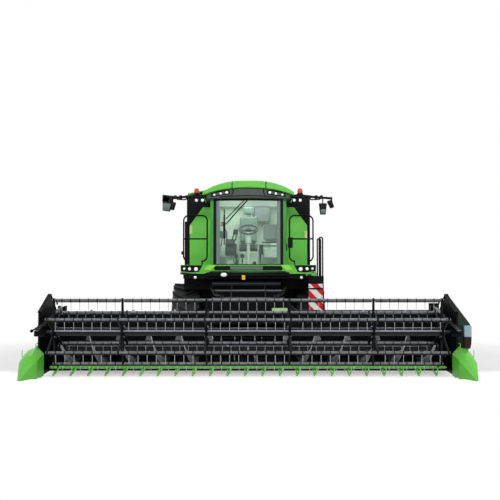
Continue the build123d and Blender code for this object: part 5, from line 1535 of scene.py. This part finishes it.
def side_rings(rim, wall, half, reach):
    """Moulded rings on both sidewalls of a tyre."""
    rings = bmesh.new()
    for share in (0.16, 0.26, 0.84):
        r = rim + 0.45 * wall * share
        h = reach + (half - reach) * share
        profile = [(r - 0.007, h - 0.004), (r - 0.003, h + 0.004), (r + 0.003, h + 0.006), (r + 0.008, h)]
        ring = kept(turned(profile, 64))
        put(rings, ring)
        put(rings, ring, Matrix.Diagonal((1, 1, -1, 1)))
    return kept(rings, "rings")


# Columns: end, the wheel's centre on the left, and what the two functions want
axles = (
    ("front", (1.354, -0.8, 0.85), (0.381, 0.2356, -0.106, 0.06, 10, 0.19), (0.381, 0.423, 0.31, 0.2356)),
    ("rear", (1.33, 3.05, 0.6), (0.305, 0.1672, -0.095, 0.045, 8, 0.15), (0.305, 0.261, 0.22, 0.1672)),
)
for end, centre, wheel, rings in axles:
    rim_mesh, nut_mesh, cap_mesh = wheel_stock(*wheel)
    ring_mesh = side_rings(*rings)
    for side, sign in sides:
        place = Matrix.Diagonal((sign, 1, 1, 1)) @ moved(*centre) @ sideways
        rim_node, body = f"rim_{end}_{side}", body_of(f"rim_{end}_{side}")
        for name, mesh, slot, finish, gone in (
            ("dish", rim_mesh, "silver_paint", silver, (rim_node,)),
            ("nuts", nut_mesh, "silver_paint", zinc, ()),
            ("cap", cap_mesh, "black_metal", black, ()),
            ("rings", ring_mesh, "tyre_rubber", rubber, ()),
        ):
            bm = bmesh.new()
            put(bm, mesh, place)
            piece(f"{name}_{end}_{side}", bm, body, finish, gone)
print("wheels are dressed")

# %% [markdown]
# ## Grain tank and its lids
# Large sheets get pressed ribs, or they would drum. Those on the lids have to follow the slope, so rays are
# dropped on the solid from above and each rib is a tube laid through the points that they hit.

# %% Ribs, hinges and rails of the tank
bm = bmesh.new()
for y in (-0.2, 0.2, 0.6, 1.0, 1.4, 1.8):
    cuboid(bm, (-1.413, y - 0.03, 2.58), (-1.398, y + 0.03, 3.7))
    cuboid(bm, (0.978, y - 0.03, 2.99), (0.993, y + 0.03, 3.45))
for x in (-1.1, -0.7, -0.3, 0.1, 0.5):
    cuboid(bm, (x - 0.03, -0.513, 2.58), (x + 0.03, -0.498, 3.7))
piece("tank_ribs", bm, "chassis", green, edge=0.006)
hinges = bmesh.new()
for side, x_low, x_high, x_hinge in (("left", -0.14, 0.9, 0.972), ("right", -1.32, -0.28, -1.392)):
    node = nodes["tank_lid_" + side]
    lid = BVHTree.FromPolygons([v.co for v in node.data.vertices], [p.vertices for p in node.data.polygons])
    bm = bmesh.new()
    for y in (-0.3, 0.2, 0.8, 1.4, 1.9):
        pipe(bm, [lid.ray_cast(Vector((x, y, 5)), down)[0] for x in (x_low, x_high)], 0.012)
    feet = [lid.ray_cast(Vector(((x_low + x_high) / 2, y, 5)), down)[0] for y in (0.35, 0.65)]
    lift = Vector((0, 0, 0.045))
    pipe(bm, [feet[0], feet[0] + lift, feet[1] + lift, feet[1]], 0.009, 0.02)
    piece("lid_ribs_" + side, bm, body_of(node.name), green)
    for y in (-0.35, 0.8, 1.95):
        for half, radius in ((0.07, 0.014), (0.02, 0.018)):
            rod(hinges, (x_hinge, y - half, 3.742), (x_hinge, y + half, 3.742), radius)
piece("lid_hinges", hinges, "chassis", zinc)

# %% [markdown]
# ## Engine hood
# On the right, the cooling air comes in through a round perforated screen with a suction arm that keeps it
# clean. The exhaust stands behind the tank in a guard, beside the bowl of the air cleaner's intake.

# %% Screen, exhaust, intake and fittings of the hood
screen_y, screen_z = 2.87, 2.86
bm = bmesh.new()
rod(bm, *across(screen_y, screen_z, -1.385, -1.372, 0.322, 64))
piece("air_screen", bm, "chassis", punched)
bm = bmesh.new()
plate(bm, [(2.84, 2.82), (2.9, 2.82), (2.93, 3.14), (2.81, 3.14)], 0, -1.412, -1.39)
rod(bm, *across(screen_y, screen_z, -1.42, -1.37, 0.05))
for y, z in ring_of(12, 0.34, screen_y, screen_z):
    rod(bm, *across(y, z, -1.408, -1.398, 0.008, 6))
piece("screen_arm", bm, "chassis", black, edge=0.003)
bm = bmesh.new()
pipe(bm, [(0.78, 2.42, 3.28), (0.78, 2.42, 3.62), (0.78, 2.56, 3.7)], 0.055, 0.08, 8, 6)
piece("exhaust", bm, "chassis", iron)
profile = [(0.078, 0), (0.088, 0.01), (0.088, 0.28), (0.078, 0.3), (0.074, 0.3), (0.074, 0), (0.078, 0)]
bm = bmesh.new()
put(bm, kept(turned(profile)), moved(0.78, 2.42, 3.298))
piece("exhaust_guard", bm, "chassis", punched)
profile = [(0, 0.3), (0.1, 0.285), (0.135, 0.25), (0.135, 0.2), (0.11, 0.18), (0.075, 0.17), (0.07, 0.0)]
bm = bmesh.new()
put(bm, kept(turned(profile)), moved(-0.85, 2.45, 3.295))
for x in (-1.25, 1.0):
    for y in (2.3, 3.5):
        rod(bm, (x, y, 3.298), (x, y, 3.312), 0.02, 0.014, 12)
piece("intake_bowl", bm, "chassis", plastic)
bm = bmesh.new()
boxes(
    bm,
    ((-1.2, 2.7, 3.295), (-0.3, 3.5, 3.312)),
    ((0.1, 2.7, 3.295), (0.95, 3.5, 3.312)),
    ((-1.18, 3.895, 2.94), (0.92, 3.912, 2.99)),
    ((-1.28, 3.895, 2.5), (-1.02, 3.912, 2.96)),
)
piece("hood_panels", bm, "chassis", green, edge=0.008)
bm = bmesh.new()
for x in (-1.15, 0.95):
    pipe(bm, [(x, 3.9, 2.62), (x, 3.945, 2.62), (x, 3.945, 2.86), (x, 3.9, 2.86)], 0.01, 0.02)
for x, top in ((-1.37, 2.72), (1.37, 3.02)):
    for y in (2.25, 2.95, 3.8):
        rod(bm, (x, y, 2.45), (x, y, top), 0.014, steps=12)
for z, radius in ((3.02, 0.015), (2.75, 0.011)):
    pipe(bm, [(1.37, 2.25, z), (1.37, 3.8, z)], radius)
piece("deck_rails", bm, "chassis", black)
bm = bmesh.new()
for y in (0.5, 1.5, 2.6, 3.7):
    rod(bm, (1.396, y - 0.08, 2.458), (1.396, y + 0.08, 2.458), 0.011)
mirrored(bm)
piece("cover_hinges", bm, "chassis", black)

# %% [markdown]
# ## Flank covers
# Each cover hangs from its upper edge. It carries two latches, a raised field between its pressed channels,
# amber side reflectors and a rubber lip round the wheel arch, and all of it swings with the cover.

# %% Fittings of the covers
face = 1.438  # x of a cover's sheet
lip_radius = 0.752
for side, sign in sides:
    field, dark, reflectors = bmesh.new(), bmesh.new(), bmesh.new()
    boxes(
        field,
        ((face, 0.42, 1.81), (1.447, 2.3, 2.14)),
        ((face, 0.42, 1.15), (1.447, 2.1, 1.66)),
        ((face, 0.3, 2.28), (1.447, 3.9, 2.4)),
    )
    for y, z in ((0.33, 1.35), (3.93, 1.97)):
        cuboid(dark, (face, y - 0.04, z - 0.09), (1.45, y + 0.04, z + 0.09))
        low, high = z - 0.06, z + 0.06
        pipe(dark, [(1.445, y, low), (1.468, y, low), (1.468, y, high), (1.445, y, high)], 0.008, 0.012)
    turns = [radians(a) for a in range(62, 149, 6)]
    lip = [(1.432, 3.05 + lip_radius * cos(a), 0.6 + lip_radius * sin(a)) for a in turns]
    pipe(dark, lip, 0.013, 0.02)
    for y in (0.75, 1.85):
        cuboid(reflectors, (face, y - 0.05, 1.05), (1.446, y + 0.05, 1.09))
    for name, bm, slot, finish, edge in (
        ("cover_field", field, "green_paint", green, 0.006),
        ("cover_latches", dark, "black_metal", plastic, 0.003),
        ("side_reflectors", reflectors, "beacon_amber", amber_lens, 0.003),
    ):
        bmesh.ops.transform(bm, matrix=Matrix.Diagonal((sign, 1, 1, 1)), verts=bm.verts)
        piece(f"{name}_{side}", bm, body_of("side_cover_" + side), finish, edge=edge)

# %% [markdown]
# ## Rear
# The straw hood carries the tail lamps, a bare plate with its lamp and a grab handle, and the spreader below
# has bolted vanes.

# %% Tail lamps, plate, handles and spreader bolts
tail_y = 4.905  # of the hood's rear sheet
housings, reds, ambers = bmesh.new(), bmesh.new(), bmesh.new()
for x in (-0.66, 0.66):
    cuboid(housings, (x - 0.13, tail_y, 1.53), (x + 0.13, 4.94, 1.66))
    for bm, lamp_x in ((reds, x - 0.055), (ambers, x + 0.055)):
        rod(bm, (lamp_x, 4.93, 1.595), (lamp_x, 4.952, 1.595), 0.048, 0.044, 24)
    cuboid(reds, (x - 0.1, tail_y, 1.7), (x + 0.1, 4.918, 1.74))
cuboid(housings, (-0.28, tail_y, 1.52), (0.28, 4.92, 1.66))
cuboid(housings, (-0.05, tail_y, 1.665), (0.05, 4.955, 1.69))
handle = [(-0.25, tail_y, 2.02), (-0.25, 4.96, 2.02), (0.25, 4.96, 2.02), (0.25, tail_y, 2.02)]
pipe(housings, handle, 0.012, 0.02)
for x in (-0.825, 0.825):
    for z in (1.6, 2.6):
        cuboid(housings, (min(x, x * 1.01), 4.1, z - 0.04), (max(x, x * 1.01), 4.2, z + 0.04))
piece("tail_housings", housings, "chassis", plastic, edge=0.006)
piece("tail_lenses", reds, "chassis", red_lens, edge=0.003)
piece("turn_lenses", ambers, "chassis", amber_lens, edge=0.003)
bm = bmesh.new()
cuboid(bm, (-0.26, 4.918, 1.535), (0.26, 4.923, 1.645))
piece("rear_bare_plate", bm, "chassis", silver, edge=0.001)
bm = bmesh.new()
plate(bm, [(4.2, 1.55), (4.2, 2.66), (4.44, 2.62), (4.78, 2.15), (4.78, 1.55)], 0, 0.815, 0.829)
mirrored(bm)
cuboid(bm, (-0.6, tail_y, 1.78), (0.6, 4.917, 1.93))
piece("straw_hood_panels", bm, "chassis", green, edge=0.006)
bm = bmesh.new()
for i in range(-4, 5):
    x = 0.03 + 0.2 * i
    for y in (4.93, 5.2):
        z = 1.22 - 0.232 * (y - 4.768)
        rod(bm, (x, y, z - 0.01), (x, y, z + 0.018), 0.013, steps=6)
piece("spreader_bolts", bm, body_of("straw_chopper"), zinc)

# %% [markdown]
# ## Unloading tube
# The tube's sections are bolted together at round flanges, the turret turns on a toothed ring, and a work
# lamp and a rubber skirt sit at the spout.

# %% Bolts, turret ring, skirt and lamp of the unloading tube
tube_x, turret_y = 1.215, -0.18
bolt = bmesh.new()
rod(bolt, (0, 0, -0.022), (0, 0, 0.022), 0.008, steps=6)
bolt = kept(bolt)
bm = bmesh.new()
for y in (0.08, 2.235):
    for x, z in ring_of(16, 0.189, tube_x, 3.65):
        put(bm, bolt, moved(x, y, z) @ forward)
for x, y in ring_of(20, 0.189, tube_x, turret_y):
    put(bm, bolt, moved(x, y, 2.95))
tube_body = body_of("unloading_tube")
piece("tube_bolts", bm, tube_body, zinc)
bm = bmesh.new()
ring = turned([(0.181, 0), (0.196, 0.004), (0.196, 0.05), (0.181, 0.056)])
put(bm, kept(ring), moved(tube_x, turret_y, 3.02))
boxes(
    bm,
    ((1.035, 4.585, 3.262), (1.395, 4.6, 3.3)),
    ((1.035, 4.925, 3.262), (1.395, 4.945, 3.3)),
    ((1.03, 4.585, 3.262), (1.045, 4.945, 3.3)),
    ((1.385, 4.585, 3.262), (1.4, 4.945, 3.3)),
    ((1.17, 4.52, 3.44), (1.26, 4.58, 3.5)),
)
piece("spout_skirt", bm, tube_body, plastic, edge=0.004)
bm = bmesh.new()
rod(bm, (tube_x, 4.55, 3.445), (tube_x, 4.56, 3.425), 0.035, 0.032, 24)
piece("spout_lamp", bm, tube_body, clear_lens)
print("body details are on")
